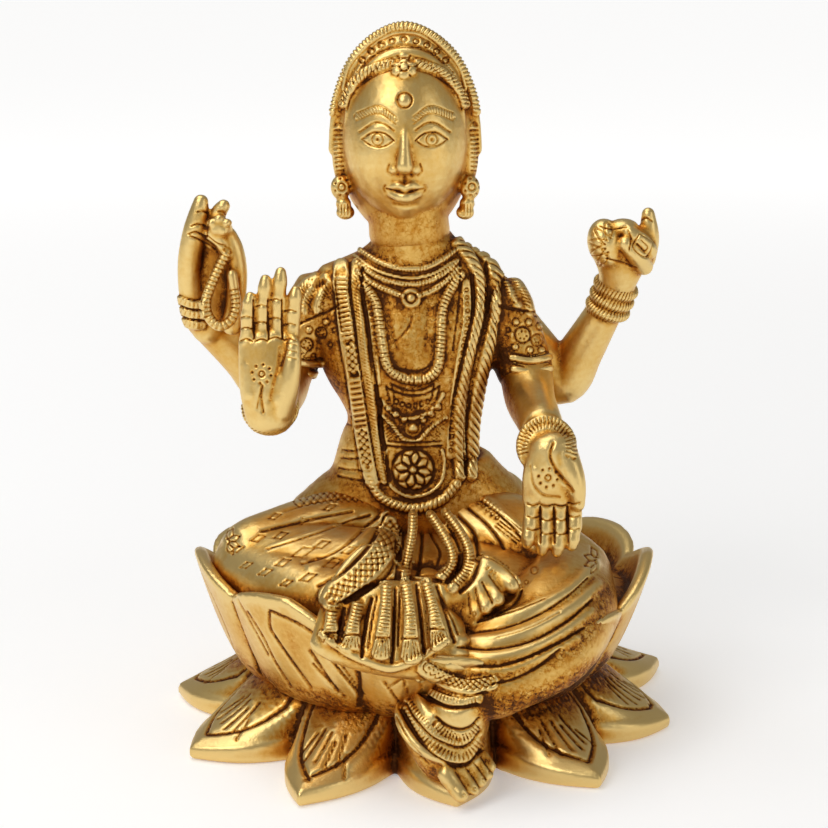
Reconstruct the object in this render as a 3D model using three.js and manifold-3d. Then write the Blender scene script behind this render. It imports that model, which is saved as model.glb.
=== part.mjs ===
// A small brass figure of Lakshmi, cast in one with her lotus seat and the lotus base below it.
// Millimetres, +Z up, +X to the viewer's right, the front facing -Y, the origin under the base's middle.
import * as THREE from "three";
import { ParametricGeometry } from "three/addons/geometries/ParametricGeometry.js";
import { mergeVertices } from "three/addons/utils/BufferGeometryUtils.js";
import Module from "manifold-3d";

const wasm = await Module();
wasm.setup();

// The lotus base: a star of sloping petals on a flat underside.
const BASE_TIP_RADIUS = 85.5;
const BASE_NOTCH_RADIUS = 64;
// Each petal as modelled by hand: the direction of its tip, in degrees from the front,
// and its share of the tip radius.
const BASE_TIPS = [
  [7, 0.97],
  [38.5, 1.02],
  [77, 0.98],
  [113, 1.07],
  [150, 1],
  [186, 1],
  [226, 1],
  [263, 1],
  [301, 1.02],
  [335, 1.05],
];
const BASE_TIP_EDGE = 5; // height of the petal's edge at its tip
const BASE_NOTCH_EDGE = 8;
const BASE_ROOT_HEIGHT = 24; // where the petals meet the seat

// The lotus seat: a bowl of upright petals with a cushion in it.
// Each petal: the direction of its tip, in degrees from the front, and its share of the seat's height.
const SEAT_TIPS = [
  [0, 0.62],
  [40, 0.7],
  [80, 1],
  [121, 0.88],
  [161, 0.78],
  [200, 0.78],
  [240, 0.84],
  [281, 1.03],
  [326, 1.02],
];
const SEAT_FOOT_RADIUS = 59;
const SEAT_RIM_RADIUS = 76.5;
const SEAT_RIM_WALL = 5;
const SEAT_HEIGHT = 35; // from the base's petals to the tips of the seat's
const SEAT_DIP = 7; // how far the rim drops between two tips
const CUSHION_DROP = 12; // from the seat's tips down to the cushion

// The figure, from the cushion to the top of the crown.
const FIGURE_HEIGHT = 182;

// Places worked out from the sizes above. The pose is written in units of which the figure's height has 182.
const UNITS_IN_FIGURE = 182;
const unit = FIGURE_HEIGHT / UNITS_IN_FIGURE;
const cushionTop = BASE_ROOT_HEIGHT + SEAT_HEIGHT - CUSHION_DROP;
const SINK = 4; // how far a form runs into the one that carries it
const FRONT = new THREE.Vector3(0, -1, 0);
const UP = new THREE.Vector3(0, 0, 1);
const turn = (degrees) => THREE.MathUtils.degToRad(degrees);
const mix = THREE.MathUtils.lerp;

// A point of the pose: x and y from the base's middle, z from the cushion.
const at = (x, y, z) => new THREE.Vector3(x * unit, y * unit, cushionTop + z * unit);

// A closed solid from a surface that runs u round the form and v from one end to the other.
function skin(surface, around, along) {
  const geometry = new ParametricGeometry((u, v, target) => target.copy(surface(u, v)), around, along);
  geometry.deleteAttribute("normal");
  geometry.deleteAttribute("uv");
  const merged = mergeVertices(geometry, 1e-3);
  const corners = merged.index.array;
  const kept = [];
  for (let i = 0; i < corners.length; i += 3) {
    const [a, b, c] = corners.slice(i, i + 3);
    if (a !== b && b !== c && c !== a) kept.push(a, b, c);
  }
  const build = (triVerts) =>
    new wasm.Manifold(
      new wasm.Mesh({
        numProp: 3,
        vertProperties: merged.attributes.position.array,
        triVerts: new Uint32Array(triVerts),
      }),
    );
  const made = build(kept);
  return made.volume() > 0 ? made : build(kept.reverse());
}

// Joins many solids into one.
const join = (solids) => solids.reduce((whole, piece) => whole.add(piece));

// The centre, radii and axes of a limb at the share s of its length.
// A station is x, y, z, half width and half depth, in the pose's units.
function course(stations, front = FRONT) {
  const centres = new THREE.CatmullRomCurve3(stations.map(([x, y, z]) => at(x, y, z)));
  const radii = new THREE.CatmullRomCurve3(
    stations.map(([, , , a, b]) => new THREE.Vector3(a * unit, (b ?? a) * unit, 0)),
  );
  return (s) => {
    const axis = centres.getTangent(s);
    const side = new THREE.Vector3().crossVectors(axis, front).normalize();
    const face = new THREE.Vector3().crossVectors(side, axis);
    const r = radii.getPoint(s);
    return { centre: centres.getPoint(s), axis, side, face, a: r.x, b: r.y };
  };
}

// A rounded limb through its stations, with a dome at each end.
function limb(stations, { sides = 10, steps = 8, front = FRONT, dome = 2 } = {}) {
  const station = course(stations, front);
  const rows = steps + 2 * dome;
  return skin(
    (u, v) => {
      const row = v * rows;
      const s = THREE.MathUtils.clamp((row - dome) / steps, 0, 1);
      const below = Math.max(0, dome - row) / dome;
      const above = Math.max(0, row - dome - steps) / dome;
      const { centre, axis, side, face, a, b } = station(s);
      const lift = turn(90) * (below + above);
      const end = Math.sign(above - below) * Math.sin(lift) * Math.min(a, b);
      const round = Math.cos(lift) < 1e-6 ? 0 : Math.cos(lift);
      return centre
        .addScaledVector(axis, end)
        .addScaledVector(side, a * round * Math.cos(turn(360 * u)))
        .addScaledVector(face, b * round * Math.sin(turn(360 * u)));
    },
    sides,
    rows,
  );
}

// A thin round cord through points, for a necklace strand, a fold or a band.
function cord(points, radius, { sides = 4, steps = 10, flat = 1, front = FRONT } = {}) {
  return limb(
    points.map(([x, y, z]) => [x, y, z, radius, radius * flat]),
    { sides, steps, front, dome: 1 },
  );
}

// An ellipsoid, for jewels, ears and buds.
function bead([x, y, z], [a, b, c], around = 7, along = 4) {
  return skin(
    (u, v) => {
      const ring = Math.sin(Math.PI * v);
      return at(
        x + a * ring * Math.cos(turn(360 * u)),
        y + b * ring * Math.sin(turn(360 * u)),
        z - c * Math.cos(Math.PI * v),
      );
    },
    around,
    along,
  );
}

// A band round an axis, for bangles and anklets, half as high as height.
function bangle(centre, axis, radius, height) {
  const direction = new THREE.Vector3(...axis).normalize();
  const side = new THREE.Vector3().crossVectors(direction, FRONT).normalize();
  const face = new THREE.Vector3().crossVectors(side, direction);
  const middle = at(...centre);
  const rows = [
    [0, -height],
    [radius, -height],
    [radius, height],
    [0, height],
  ];
  return skin(
    (u, v) => {
      const [r, h] = rows[Math.round(v * (rows.length - 1))];
      return middle
        .clone()
        .addScaledVector(direction, h * unit)
        .addScaledVector(side, r * unit * Math.cos(turn(360 * u)))
        .addScaledVector(face, r * unit * Math.sin(turn(360 * u)));
    },
    9,
    rows.length - 1,
  );
}

// The base: each petal's outline runs from its tip to the notches, and its top slopes up to the seat.
function lotusBase() {
  const BULGE = 4; // how far a petal's side swells past a straight line
  const RIM = 5.5; // width of the border along a petal's edge
  const NARROWING = 1.8; // how much deeper the notch is for each degree two petals stand closer
  const HOLLOW = 1.2; // how far the top dips inside the border at a tip
  const PETAL_STEPS = 6;
  const count = BASE_TIPS.length;
  const polar = (degrees, radius) =>
    new THREE.Vector2(Math.sin(turn(degrees)), -Math.cos(turn(degrees))).multiplyScalar(radius);
  const tipOf = (k) => {
    const [angle, share] = BASE_TIPS[((k % count) + count) % count];
    return { angle: angle + 360 * Math.floor(k / count), radius: share * BASE_TIP_RADIUS };
  };
  const outline = (u) => {
    const k = Math.round(u * count);
    const across = u * count - k;
    const side = across < 0 ? -1 : 1;
    const t = Math.abs(across) * 2;
    const mine = tipOf(k);
    const next = tipOf(k + side);
    const gap = Math.abs(next.angle - mine.angle) - 360 / count;
    const tip = polar(mine.angle, mine.radius);
    const notchRadius = BASE_NOTCH_RADIUS + NARROWING * Math.min(gap, 0);
    const notch = polar((mine.angle + next.angle) / 2, notchRadius);
    const outward = notch.clone().sub(tip).rotateAround(new THREE.Vector2(), side * turn(-90));
    const swell = outward.setLength(BULGE * Math.sin(Math.PI * t));
    return { edge: tip.lerp(notch, t).add(swell), t };
  };
  const rootRadius = SEAT_FOOT_RADIUS - SINK;
  const surface = (u, v) => {
    const { edge, t } = outline(u);
    const radius = edge.length();
    const rim = mix(BASE_TIP_EDGE, BASE_NOTCH_EDGE, t);
    const inner = Math.max(radius - RIM, rootRadius);
    const rise = (radius - inner) / Math.max(radius - rootRadius, 1);
    const rows = [
      [0, 0],
      [radius - 1, 0],
      [radius, rim * 0.5],
      [radius - 1, rim],
      [inner, mix(rim, BASE_ROOT_HEIGHT, rise) - HOLLOW * (1 - t)],
      [rootRadius, BASE_ROOT_HEIGHT - 2 * t],
      [0, BASE_ROOT_HEIGHT],
    ];
    const [r, z] = rows[Math.round(v * (rows.length - 1))];
    return new THREE.Vector3((edge.x * r) / radius, (edge.y * r) / radius, z);
  };
  return skin(surface, count * PETAL_STEPS, 6);
}

// The seat: a wall that flares to its rim, waved into petals, round a cushion.
function lotusSeat() {
  const PETAL_STEPS = 4;
  const CLEFT = 0.05; // share of the radius by which the wall draws in between two petals
  const SWELL = 0.62; // below 1 the wall is fuller near its foot
  const foot = BASE_ROOT_HEIGHT - SINK;
  const count = SEAT_TIPS.length;
  const surface = (u, v) => {
    const k = Math.round(u * count);
    const across = u * count - k;
    const near = SEAT_TIPS[k % count];
    const lap = across < 0 ? -1 : 1;
    const next = SEAT_TIPS[(k + lap + count) % count];
    const t = Math.abs(across) * 2;
    const step = (((next[0] - near[0]) * lap + 360) % 360) * lap;
    const angle = turn(near[0] + (step * t) / 2);
    const tipHeight = mix(near[1], (near[1] + next[1]) / 2, t) * SEAT_HEIGHT;
    const rim = BASE_ROOT_HEIGHT + tipHeight - SEAT_DIP * t ** 2.2;
    const cleft = 1 - CLEFT * t ** 4;
    const wall = (share) => [
      mix(SEAT_FOOT_RADIUS, SEAT_RIM_RADIUS, share ** SWELL) * cleft,
      mix(foot, rim, share),
    ];
    const rows = [
      [0, foot],
      [SEAT_FOOT_RADIUS * cleft, foot],
      wall(0.3),
      wall(0.65),
      wall(1),
      [(SEAT_RIM_RADIUS - SEAT_RIM_WALL) * cleft, rim - 1],
      [(SEAT_RIM_RADIUS - 1.6 * SEAT_RIM_WALL) * cleft, cushionTop - 2],
      [0, cushionTop],
    ];
    const [r, z] = rows[Math.round(v * (rows.length - 1))];
    return new THREE.Vector3(r * Math.sin(angle), -r * Math.cos(angle), z);
  };
  return skin(surface, count * PETAL_STEPS, 7);
}

// The trunk, from the lap to the neck.
const TORSO = [
  [-3, 8, 0, 34, 20],
  [-3, 7, 16, 34, 20],
  [-2.5, 6, 28, 30, 18],
  [-4.3, 5, 37, 25, 16.5],
  [-3.7, 5, 46, 22.4, 15.5],
  [-3.5, 5, 55, 21.9, 15],
  [-3.9, 4, 63, 24.4, 15.5],
  [-4.8, 4, 73, 29, 17],
  [-5, 5, 85, 32, 16],
  [-4.7, 6, 95, 31.5, 13.5],
  [-3.9, 6, 103, 28.5, 12],
  [-4, 5, 110, 16.5, 12],
  [-4.6, 4, 117, 13.4, 12.5],
];
const torsoAt = course(TORSO);

// A point on the front of the trunk at x and z of the pose, raised by lift.
function onTorso(x, z, lift = 0) {
  let best = torsoAt(0);
  for (let s = 0; s <= 1; s += 0.01) {
    const found = torsoAt(s);
    if (Math.abs(found.centre.z - at(0, 0, z).z) < Math.abs(best.centre.z - at(0, 0, z).z)) best = found;
  }
  const across = THREE.MathUtils.clamp((x * unit - best.centre.x) / best.a, -0.98, 0.98);
  const depth = best.b * Math.sqrt(1 - across * across);
  return [x, best.centre.y / unit - depth / unit - lift, z];
}

// The legs: her right leg folded on the seat, her left leg down to the base with its foot on the front petal.
const RIGHT_THIGH = [
  [-14, 4, 14.5, 17, 17],
  [-34, -8, 14.5, 16.5, 15.5],
  [-54, -17, 10.5, 13.5, 15],
];
const RIGHT_SHIN = [
  [-54.5, -21, 8, 13, 12.5],
  [-38, -39, 7, 13, 12],
  [-19, -51, 7, 12, 11],
  [-2, -54, 8, 9, 9],
  [8, -52, 10, 7, 7],
];
const LEFT_THIGH = [
  [12, 4, 15, 17, 16],
  [29, -5, 13.2, 16.5, 15.6],
  [48, -15, 5, 14, 13.5],
];
const LEFT_SHIN = [
  [48, -18, 5, 14, 13],
  [45, -38, 3, 17, 13],
  [35, -54, -3, 18, 12],
  [21, -64, -10, 15, 11],
  [11.5, -69, -18, 10.5, 10],
  [10, -70, -30, 8.5, 8],
];
const SHIN_FRONT = new THREE.Vector3(0.5, -0.2, 0.85);
const petalTop = (BASE_TIP_EDGE - cushionTop) / unit; // the front petal's edge, in the pose's units

// A foot from the heel to the toes, with five toes in a row.
function foot(heel, ball, width, toeStep, toeAhead) {
  const sole = limb([[...heel, width * 0.8, 5], [...ball, width, 4.2]], { sides: 8, steps: 1, front: UP });
  const toes = [0, 1, 2, 3, 4].map((i) => {
    const start = ball.map((value, k) => value + toeStep[k] * (i - 2));
    const reach = 1 - 0.1 * i;
    const end = start.map((value, k) => value + toeAhead[k] * reach);
    return limb([[...start, 2.2], [...end, i === 0 ? 2.6 : 2]], { sides: 5, steps: 1, front: UP, dome: 1 });
  });
  return join([sole, ...toes]);
}

function legs() {
  return join([
    limb(RIGHT_THIGH, { sides: 12, steps: 3, front: UP }),
    limb(RIGHT_SHIN, { sides: 10, steps: 5, front: UP }),
    limb(LEFT_THIGH, { sides: 12, steps: 3, front: UP }),
    limb(LEFT_SHIN, { sides: 12, steps: 7, front: SHIN_FRONT }),
    bead([-2, -22, 6], [46, 36, 13], 14, 6),
    foot([8, -50, 11], [19, -52, 11], 6.5, [1.6, -2.2, -2.6], [6, -3, -1.5]),
    foot([10, -66, petalTop + 10], [12, -73, petalTop + 5], 7.5, [2.6, 1.2, 0.3], [1.5, -7, -4]),
  ]);
}

// The fall of cloth over the front of the seat: an apron with ribs that spread like a fan.
const PLEATS = 6;
function pleats() {
  const apron = limb(
    [
      [-8, -46, 11, 18, 7],
      [-9, -62, 9, 22, 7],
      [-11, -72, -2, 24, 6],
    ],
    { sides: 12, steps: 4 },
  );
  const ribs = [];
  for (let i = 0; i < PLEATS; i++) {
    const share = i / (PLEATS - 1);
    const topX = mix(-15, 2, share);
    const footX = mix(-30, 6, share);
    const low = mix(2, -5, Math.sin(Math.PI * (0.15 + 0.6 * share)));
    const out = mix(-73, -78.5, Math.sin(Math.PI * share));
    const path = [
      [topX, -65.6, 13],
      [mix(topX, footX, 0.45), -73.5, 8],
      [footX, out, low],
    ];
    ribs.push(cord(path, 2.8, { steps: 3, flat: 0.8 }));
  }
  return join([apron, ...ribs]);
}

// The arms: two in front and two behind, each from the shoulder to the wrist.
const FRONT_RIGHT_ARM = [
  [-31.5, 8, 94, 11],
  [-40, 7, 82, 10],
  [-45.5, 4, 71, 9.6],
  [-48, -6, 64.5, 9.6],
  [-49.5, -22, 65, 7.4],
  [-48.5, -36, 68, 6.8],
];
const FRONT_LEFT_ARM = [
  [22.5, 8, 92.5, 11],
  [29, 7, 80, 9.8],
  [33.3, 4, 69, 8.8],
  [34.5, -4, 62, 8.2],
  [36.2, -16, 59, 7.4],
  [37.8, -27, 57, 6.8],
];
const REAR_RIGHT_ARM = [
  [-31, 13, 90, 9.5],
  [-42, 18, 74, 9],
  [-51.5, 19, 62.5, 8.8],
  [-60.3, 16, 72.5, 8],
  [-72.5, 11, 86, 6.8],
];
const REAR_LEFT_ARM = [
  [23, 13, 90, 9.5],
  [35, 18, 75, 9],
  [46, 19, 63.5, 9],
  [53, 16, 74.5, 7.4],
  [61, 10, 91, 6.6],
];

// A hand from its wrist: up runs along the fingers, palm is the way the palm faces, thumb is +1 or -1.
function hand({ wrist, up, palm, thumb, length, fingers, thumbPath, thick = 1 }) {
  const along = new THREE.Vector3(...up).normalize();
  const across = new THREE.Vector3().crossVectors(along, new THREE.Vector3(...palm)).normalize();
  const out = new THREE.Vector3().crossVectors(across, along);
  const place = ([x, y, z]) => {
    const p = new THREE.Vector3(...wrist)
      .addScaledVector(across, x * thumb)
      .addScaledVector(along, y)
      .addScaledVector(out, z);
    return p.toArray();
  };
  const path = (points, radii) => points.map((p, i) => [...place(p), ...radii[i]]);
  const inPalm = { sides: 8, front: out };
  const pieces = [
    limb(
      path(
        [
          [0, -2, -1],
          [0, length * 0.45, 0],
          [-0.5, length, 0],
        ],
        [
          [7.2, 5],
          [9.4, 4],
          [9, 3],
        ],
      ),
      { ...inPalm, steps: 3, dome: 1 },
    ),
    limb(path(thumbPath, [[3.4], [2.8], [2.1]]), { ...inPalm, sides: 5, steps: 2, dome: 1 }),
  ];
  for (const finger of fingers)
    pieces.push(
      limb(path(finger, [[2.5 * thick], [2.4 * thick], [1.8 * thick]]), { ...inPalm, sides: 5, steps: 2, dome: 1 }),
    );
  return join(pieces);
}

// Straight fingers side by side, from the little finger to the first.
const openFingers = (length, palmLength, fan) =>
  [0.62, 0.89, 1, 0.76].map((share, i) => {
    const x = -6.9 + 4.6 * i;
    return [
      [x, palmLength - 2, 0],
      [x + fan * 0.4, palmLength + length * share * 0.5, 0.6],
      [x + fan, palmLength + length * share, 1.2],
    ];
  });
const FOLDED_THUMB = [
  [5.5, 3, 2],
  [7, 12, 3.4],
  [6.6, 21, 3],
];

function hands() {
  const blessing = hand({
    wrist: [-47.6, -41, 67],
    up: [0.02, 0.08, 1],
    palm: [0, -1, 0.1],
    thumb: 1,
    length: 23.5,
    fingers: openFingers(18, 23.5, 3),
    thumbPath: FOLDED_THUMB,
  });
  const giving = hand({
    wrist: [41, -33, 54],
    up: [0.02, -0.05, -1],
    palm: [0, -1, 0.1],
    thumb: -1,
    length: 20,
    fingers: openFingers(15, 20, -1),
    thumbPath: FOLDED_THUMB,
  });
  const holdingStem = hand({
    wrist: [-70.8, 9, 87],
    up: [-0.02, -0.05, 1],
    palm: [0.6, -0.8, 0],
    thumb: 1,
    length: 22,
    thick: 1.3,
    fingers: [
      [[-7, 20, 0], [-6.5, 29, 1], [-3, 37.5, 2]],
      [[-3, 20, 0], [-3.5, 28, 3], [-3, 35, 5]],
      [[3, 20, 0], [5, 27, 4], [3, 23, 8]],
      [[6.5, 18, 0], [6.5, 26, 3], [4, 32, 6]],
    ],
    thumbPath: [[7.5, 3, 2], [9, 12, 5], [7, 20, 8]],
  });
  const knuckles = { sides: 6, steps: 2, dome: 1 };
  const fist = join([
    limb([[61.5, 9, 92, 6.8], [63.5, 5, 101, 7.3, 7], [64.3, 3, 110, 11.3, 8]], { sides: 9, steps: 2 }),
    limb([[71, 4, 107, 4.4], [72.6, 2.5, 114, 3.5], [72.2, 2, 121.5, 2.2]], knuckles),
    bead([65.5, 1, 113], [8.5, 6, 5.5]),
    limb([[70, -2, 105, 3], [66.5, -5.5, 109, 3], [63, -5, 113, 2.8]], knuckles),
  ]);
  return join([blessing, giving, holdingStem, fist]);
}

// What the raised hands hold: a bud on a looped stem, and a bud in a fist.
function lotusBuds() {
  const stem = [
    [-64, 0, 111],
    [-67, -3, 101],
    [-71, -5, 92],
    [-70, -6, 84],
    [-64, -5, 82],
    [-61.5, -2, 90],
    [-62, 0, 102],
  ];
  return join([
    bead([-64.8, 0, 118.5], [5, 5, 6.5]),
    cord(stem, 2.4, { sides: 5, steps: 9 }),
    bead([59.3, 0, 112.5], [7, 6.5, 8]),
  ]);
}

// The head: an egg with a fuller jaw, a cap of hair, a crown band, ears and earrings.
const HEAD = [-6, 3, 146];
function head() {
  const [x, y, z] = HEAD;
  const face = skin(
    (u, v) => {
      const polar = Math.PI * v;
      const low = Math.max(0, Math.cos(polar));
      const ring = Math.sin(polar);
      const width = 18.8 * (1 - 0.12 * low * low);
      const front = -Math.sin(turn(360 * u)) * ring;
      return at(
        x + width * ring * Math.cos(turn(360 * u)),
        y - 20 * front - 2 * low * Math.max(0, front),
        z - (low > 0 ? 27.3 : 30) * Math.cos(polar),
      );
    },
    16,
    10,
  );
  const nose = [
    [x, y - 18, z + 5, 1.6],
    [x, y - 21, z - 3, 2],
    [x, y - 21.5, z - 7.5, 2.8, 2.2],
  ];
  const mouth = [
    [x - 4.2, y - 17.8, z - 13.5],
    [x, y - 19, z - 14.2],
    [x + 4.2, y - 17.8, z - 13.5],
  ];
  const features = [
    limb(nose, { sides: 6, steps: 2 }),
    cord(mouth, 1.6, { steps: 3, front: UP }),
    ...[-1, 1].map((side) => bead([x + side * 8, y - 16.8, z + 1], [4.8, 3, 2.3])),
    ...[-1, 1].map((side) =>
      cord(
        [
          [x + side * 3, y - 18.6, z + 5.5],
          [x + side * 8.5, y - 17, z + 8.5],
          [x + side * 14.5, y - 12, z + 5.5],
        ],
        1,
        { sides: 4, steps: 3, front: UP },
      ),
    ),
    bead([x, y - 17.6, z + 11], [1.8, 2, 1.8], 5, 3),
  ];
  const hair = bead([x, y + 4, z + 1], [22.6, 19, 34], 14, 9);
  const bun = bead([x, y + 22, z - 2], [11, 8, 12], 8, 5);
  const crownBand = (halfWidth, top, foot, depth, radius, steps) =>
    cord(
      [-90, -60, -30, 0, 30, 60, 90].map((degrees) => [
        x + halfWidth * Math.sin(turn(degrees)),
        y + mix(depth[0], depth[1], Math.cos(turn(degrees))),
        z + mix(foot, top, Math.cos(turn(degrees))),
      ]),
      radius,
      { sides: 5, steps },
    );
  const crown = [
    crownBand(23.2, 34.3, -4, [0, -3], 2.6, 12),
    crownBand(17.5, 27, 3, [-6, -10.5], 3, 7),
    bead([x, y - 15.5, z + 19], [5, 3, 4.5]),
  ];
  const ears = [-1, 1].flatMap((side) => [
    bead([x + side * 20.5, y - 1, z - 5], [3.6, 4.5, 11]),
    bead([x + side * 20.2, y - 4, z - 16], [4, 4, 4.8]),
    bead([x + side * 19, y - 4, z - 22.5], [4, 4, 3.8]),
  ]);
  const neck = [
    [-4.6, 5, 106, 14.5],
    [-4.6, 4, 114, 13.6],
    [-5.4, 4, 126, 13.5],
  ];
  return join([
    face,
    hair,
    bun,
    limb(neck, { sides: 12, steps: 2, dome: 1 }),
    ...features,
    ...crown,
    ...ears,
  ]);
}

// Strands that lie on the chest, each given by points of the front view.
function jewellery() {
  const strand = (points, radius, steps) =>
    cord(
      points.map(([x, z]) => onTorso(x, z, radius * 0.3)),
      radius,
      { steps },
    );
  const collar = [[-20, 105], [-13, 101], [-4.7, 99], [4, 101], [11, 105]];
  const longNecklace = [[-20, 98], [-16.5, 82], [-13, 69], [-4.7, 63], [4, 69], [7, 82], [10, 98]];
  const waistStrand = [[-16, 62], [-10, 54], [-4.5, 50.5], [1, 54], [7, 62]];
  const rightGarland = [[-25, 100], [-24, 82], [-20.5, 62], [-17, 44], [-13, 33], [-4.5, 28.5], [4.5, 33]];
  const leftGarland = [[14.5, 103], [17.5, 84], [14.5, 64], [11, 46], [8, 37]];
  return join([
    strand(collar, 1.7, 6),
    strand(longNecklace, 2.2, 10),
    strand(waistStrand, 1.7, 6),
    strand(rightGarland, 2.6, 12),
    strand(leftGarland, 2.6, 7),
    bead(onTorso(-4.5, 95.5, 1), [4, 2.6, 4]),
    bead(onTorso(-4.5, 43, 0.5), [7.5, 3.5, 7.5], 9, 4),
  ]);
}

// The bangles at the wrists, the armlets and the anklets.
function bangles() {
  const PITCH = 3.3; // from one bangle of a set to the next
  const set = (centre, axis, radius, count) =>
    Array.from({ length: count }, (_, k) =>
      bangle(
        centre.map((value, i) => value + axis[i] * PITCH * (k - (count - 1) / 2)),
        axis,
        radius,
        1.6,
      ),
    );
  return join([
    ...set([-71.3, 12, 85], [-0.42, -0.2, 0.88], 9, 2),
    ...set([61.8, 9.5, 93.5], [0.3, -0.3, 0.9], 7.9, 3),
    bangle([-49, -33, 66.5], [0.05, -0.93, 0.35], 9.2, 2),
    bangle([37.3, -25, 57.2], [0.1, -0.98, 0.18], 8.8, 2.6),
    bangle([-44, 5.5, 75.5], [-0.45, -0.2, -0.88], 11, 1.8),
    bangle([33.5, 5, 72], [0.4, -0.15, -0.9], 10.8, 1.8),
    ...set([9.7, -69, petalTop + 14], [0, -0.42, 0.91], 10.4, 2),
  ]);
}

// Cloth folds: ridges that lie on the legs, from the lap towards the knees.
function folds() {
  const onLimb = (stations, front, s, degrees, lift) => {
    const { centre, side, face, a, b } = course(stations, front)(s);
    const p = centre
      .addScaledVector(side, (a + lift) * Math.cos(turn(degrees)))
      .addScaledVector(face, (b + lift) * Math.sin(turn(degrees)));
    return [p.x / unit, p.y / unit, (p.z - cushionTop) / unit];
  };
  const ridge = (stations, front, points, radius) =>
    cord(
      points.map(([s, degrees]) => onLimb(stations, front, s, degrees, -radius * 0.35)),
      radius,
      { steps: 5, front: UP },
    );
  const THICKNESS = 2.2;
  const onThigh = [25, 50, 75].map((degrees) => [
    [0.2, degrees + 12],
    [0.55, degrees],
    [0.85, degrees - 6],
  ]);
  const onShin = [0, 1, 2, 3].map((i) => [
    [0.62 - 0.02 * i, 175 - 30 * i],
    [0.4, 150 - 34 * i],
    [0.12, 120 - 30 * i],
  ]);
  return join([
    ...onThigh.map((points) => ridge(RIGHT_THIGH, UP, points, THICKNESS)),
    ...onShin.map((points) => ridge(LEFT_SHIN, SHIN_FRONT, points, THICKNESS)),
  ]);
}

const SIDEWAYS = new THREE.Vector3(1, 0, 0);
const forms = join([
  lotusBase(),
  lotusSeat(),
  limb(TORSO, { sides: 14, steps: 9 }),
  legs(),
  pleats(),
  limb(FRONT_RIGHT_ARM, { sides: 9, steps: 7, front: SIDEWAYS }),
  limb(FRONT_LEFT_ARM, { sides: 9, steps: 7, front: SIDEWAYS }),
  limb(REAR_RIGHT_ARM, { sides: 9, steps: 6 }),
  limb(REAR_LEFT_ARM, { sides: 9, steps: 6 }),
  hands(),
  lotusBuds(),
  head(),
  jewellery(),
  bangles(),
  folds(),
]);

// The metal is whole where forms close round a pocket, so only the outer shell is kept.
const FINEST = 0.1; // detail below this is left out of the faceted solid
const statue = join(
  forms
    .asOriginal()
    .simplify(FINEST)
    .decompose()
    .filter((body) => body.volume() > 0),
);

// The finished solid as a three.js mesh.
function meshOf(solid, name, material) {
  const { vertProperties, triVerts } = solid.getMesh();
  const geometry = new THREE.BufferGeometry();
  geometry.setAttribute("position", new THREE.BufferAttribute(new Float32Array(vertProperties), 3));
  geometry.setIndex(new THREE.BufferAttribute(new Uint32Array(triVerts), 1));
  geometry.computeVertexNormals();
  const mesh = new THREE.Mesh(geometry, material);
  mesh.name = name;
  return mesh;
}

const brass = new THREE.MeshStandardMaterial({ color: 0xc9952f, metalness: 1, roughness: 0.35 });

const group = new THREE.Group();
group.add(meshOf(statue, "lakshmi_statue", brass));

export default group;
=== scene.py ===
"""A small brass figure of Lakshmi, cast in one with her lotus seat and the lotus base below it.

Lengths are in millimetres until a piece is made: +Z up, +X to the viewer's right, the front facing -Y.
"""

import math

import bmesh
import bpy
import numpy as np
from mathutils import Matrix, Vector


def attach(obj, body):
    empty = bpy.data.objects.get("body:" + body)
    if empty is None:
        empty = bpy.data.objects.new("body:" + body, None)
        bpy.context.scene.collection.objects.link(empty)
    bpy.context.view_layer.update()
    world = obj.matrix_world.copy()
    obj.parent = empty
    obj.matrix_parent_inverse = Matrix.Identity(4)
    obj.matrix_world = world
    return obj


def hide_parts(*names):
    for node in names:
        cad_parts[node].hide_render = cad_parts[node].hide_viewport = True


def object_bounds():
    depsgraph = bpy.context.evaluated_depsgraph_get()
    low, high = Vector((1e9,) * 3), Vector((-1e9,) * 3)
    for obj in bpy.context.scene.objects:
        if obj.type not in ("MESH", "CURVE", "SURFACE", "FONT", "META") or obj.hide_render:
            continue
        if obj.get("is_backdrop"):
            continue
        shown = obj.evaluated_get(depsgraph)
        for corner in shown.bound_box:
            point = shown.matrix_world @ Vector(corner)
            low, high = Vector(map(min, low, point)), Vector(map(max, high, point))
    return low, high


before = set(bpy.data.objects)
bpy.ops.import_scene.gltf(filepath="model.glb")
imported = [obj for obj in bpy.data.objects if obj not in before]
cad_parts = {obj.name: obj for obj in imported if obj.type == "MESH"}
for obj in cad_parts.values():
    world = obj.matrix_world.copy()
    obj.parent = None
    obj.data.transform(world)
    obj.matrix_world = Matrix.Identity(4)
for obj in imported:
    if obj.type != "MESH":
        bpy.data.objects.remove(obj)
cad_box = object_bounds()

MM = 0.001
PIECE_TRIANGLES = 165000
# How often a surface is rounded to find its hollows, and what the hollows of that width count.
HOLLOW_WIDTHS = ((3, 1.9), (8, 1.4), (24, 0.9), (60, 0.5))
CUT_SHARE = 0.17  # of the pitch, for the slanting cuts of a twist
FRONT = (0, -1, 0)
UP = (0, 0, 1)
SIDEWAYS = (1, 0, 0)

# The camera, level with the crown and looking down a little.
CAMERA_BACK = 635.6
CAMERA_HEIGHT = 255
CAMERA_TILT = math.radians(13.47)
PICTURE = 828
FOCAL = 1988  # in pixels of the picture
MIDDLE_X = 424

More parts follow.
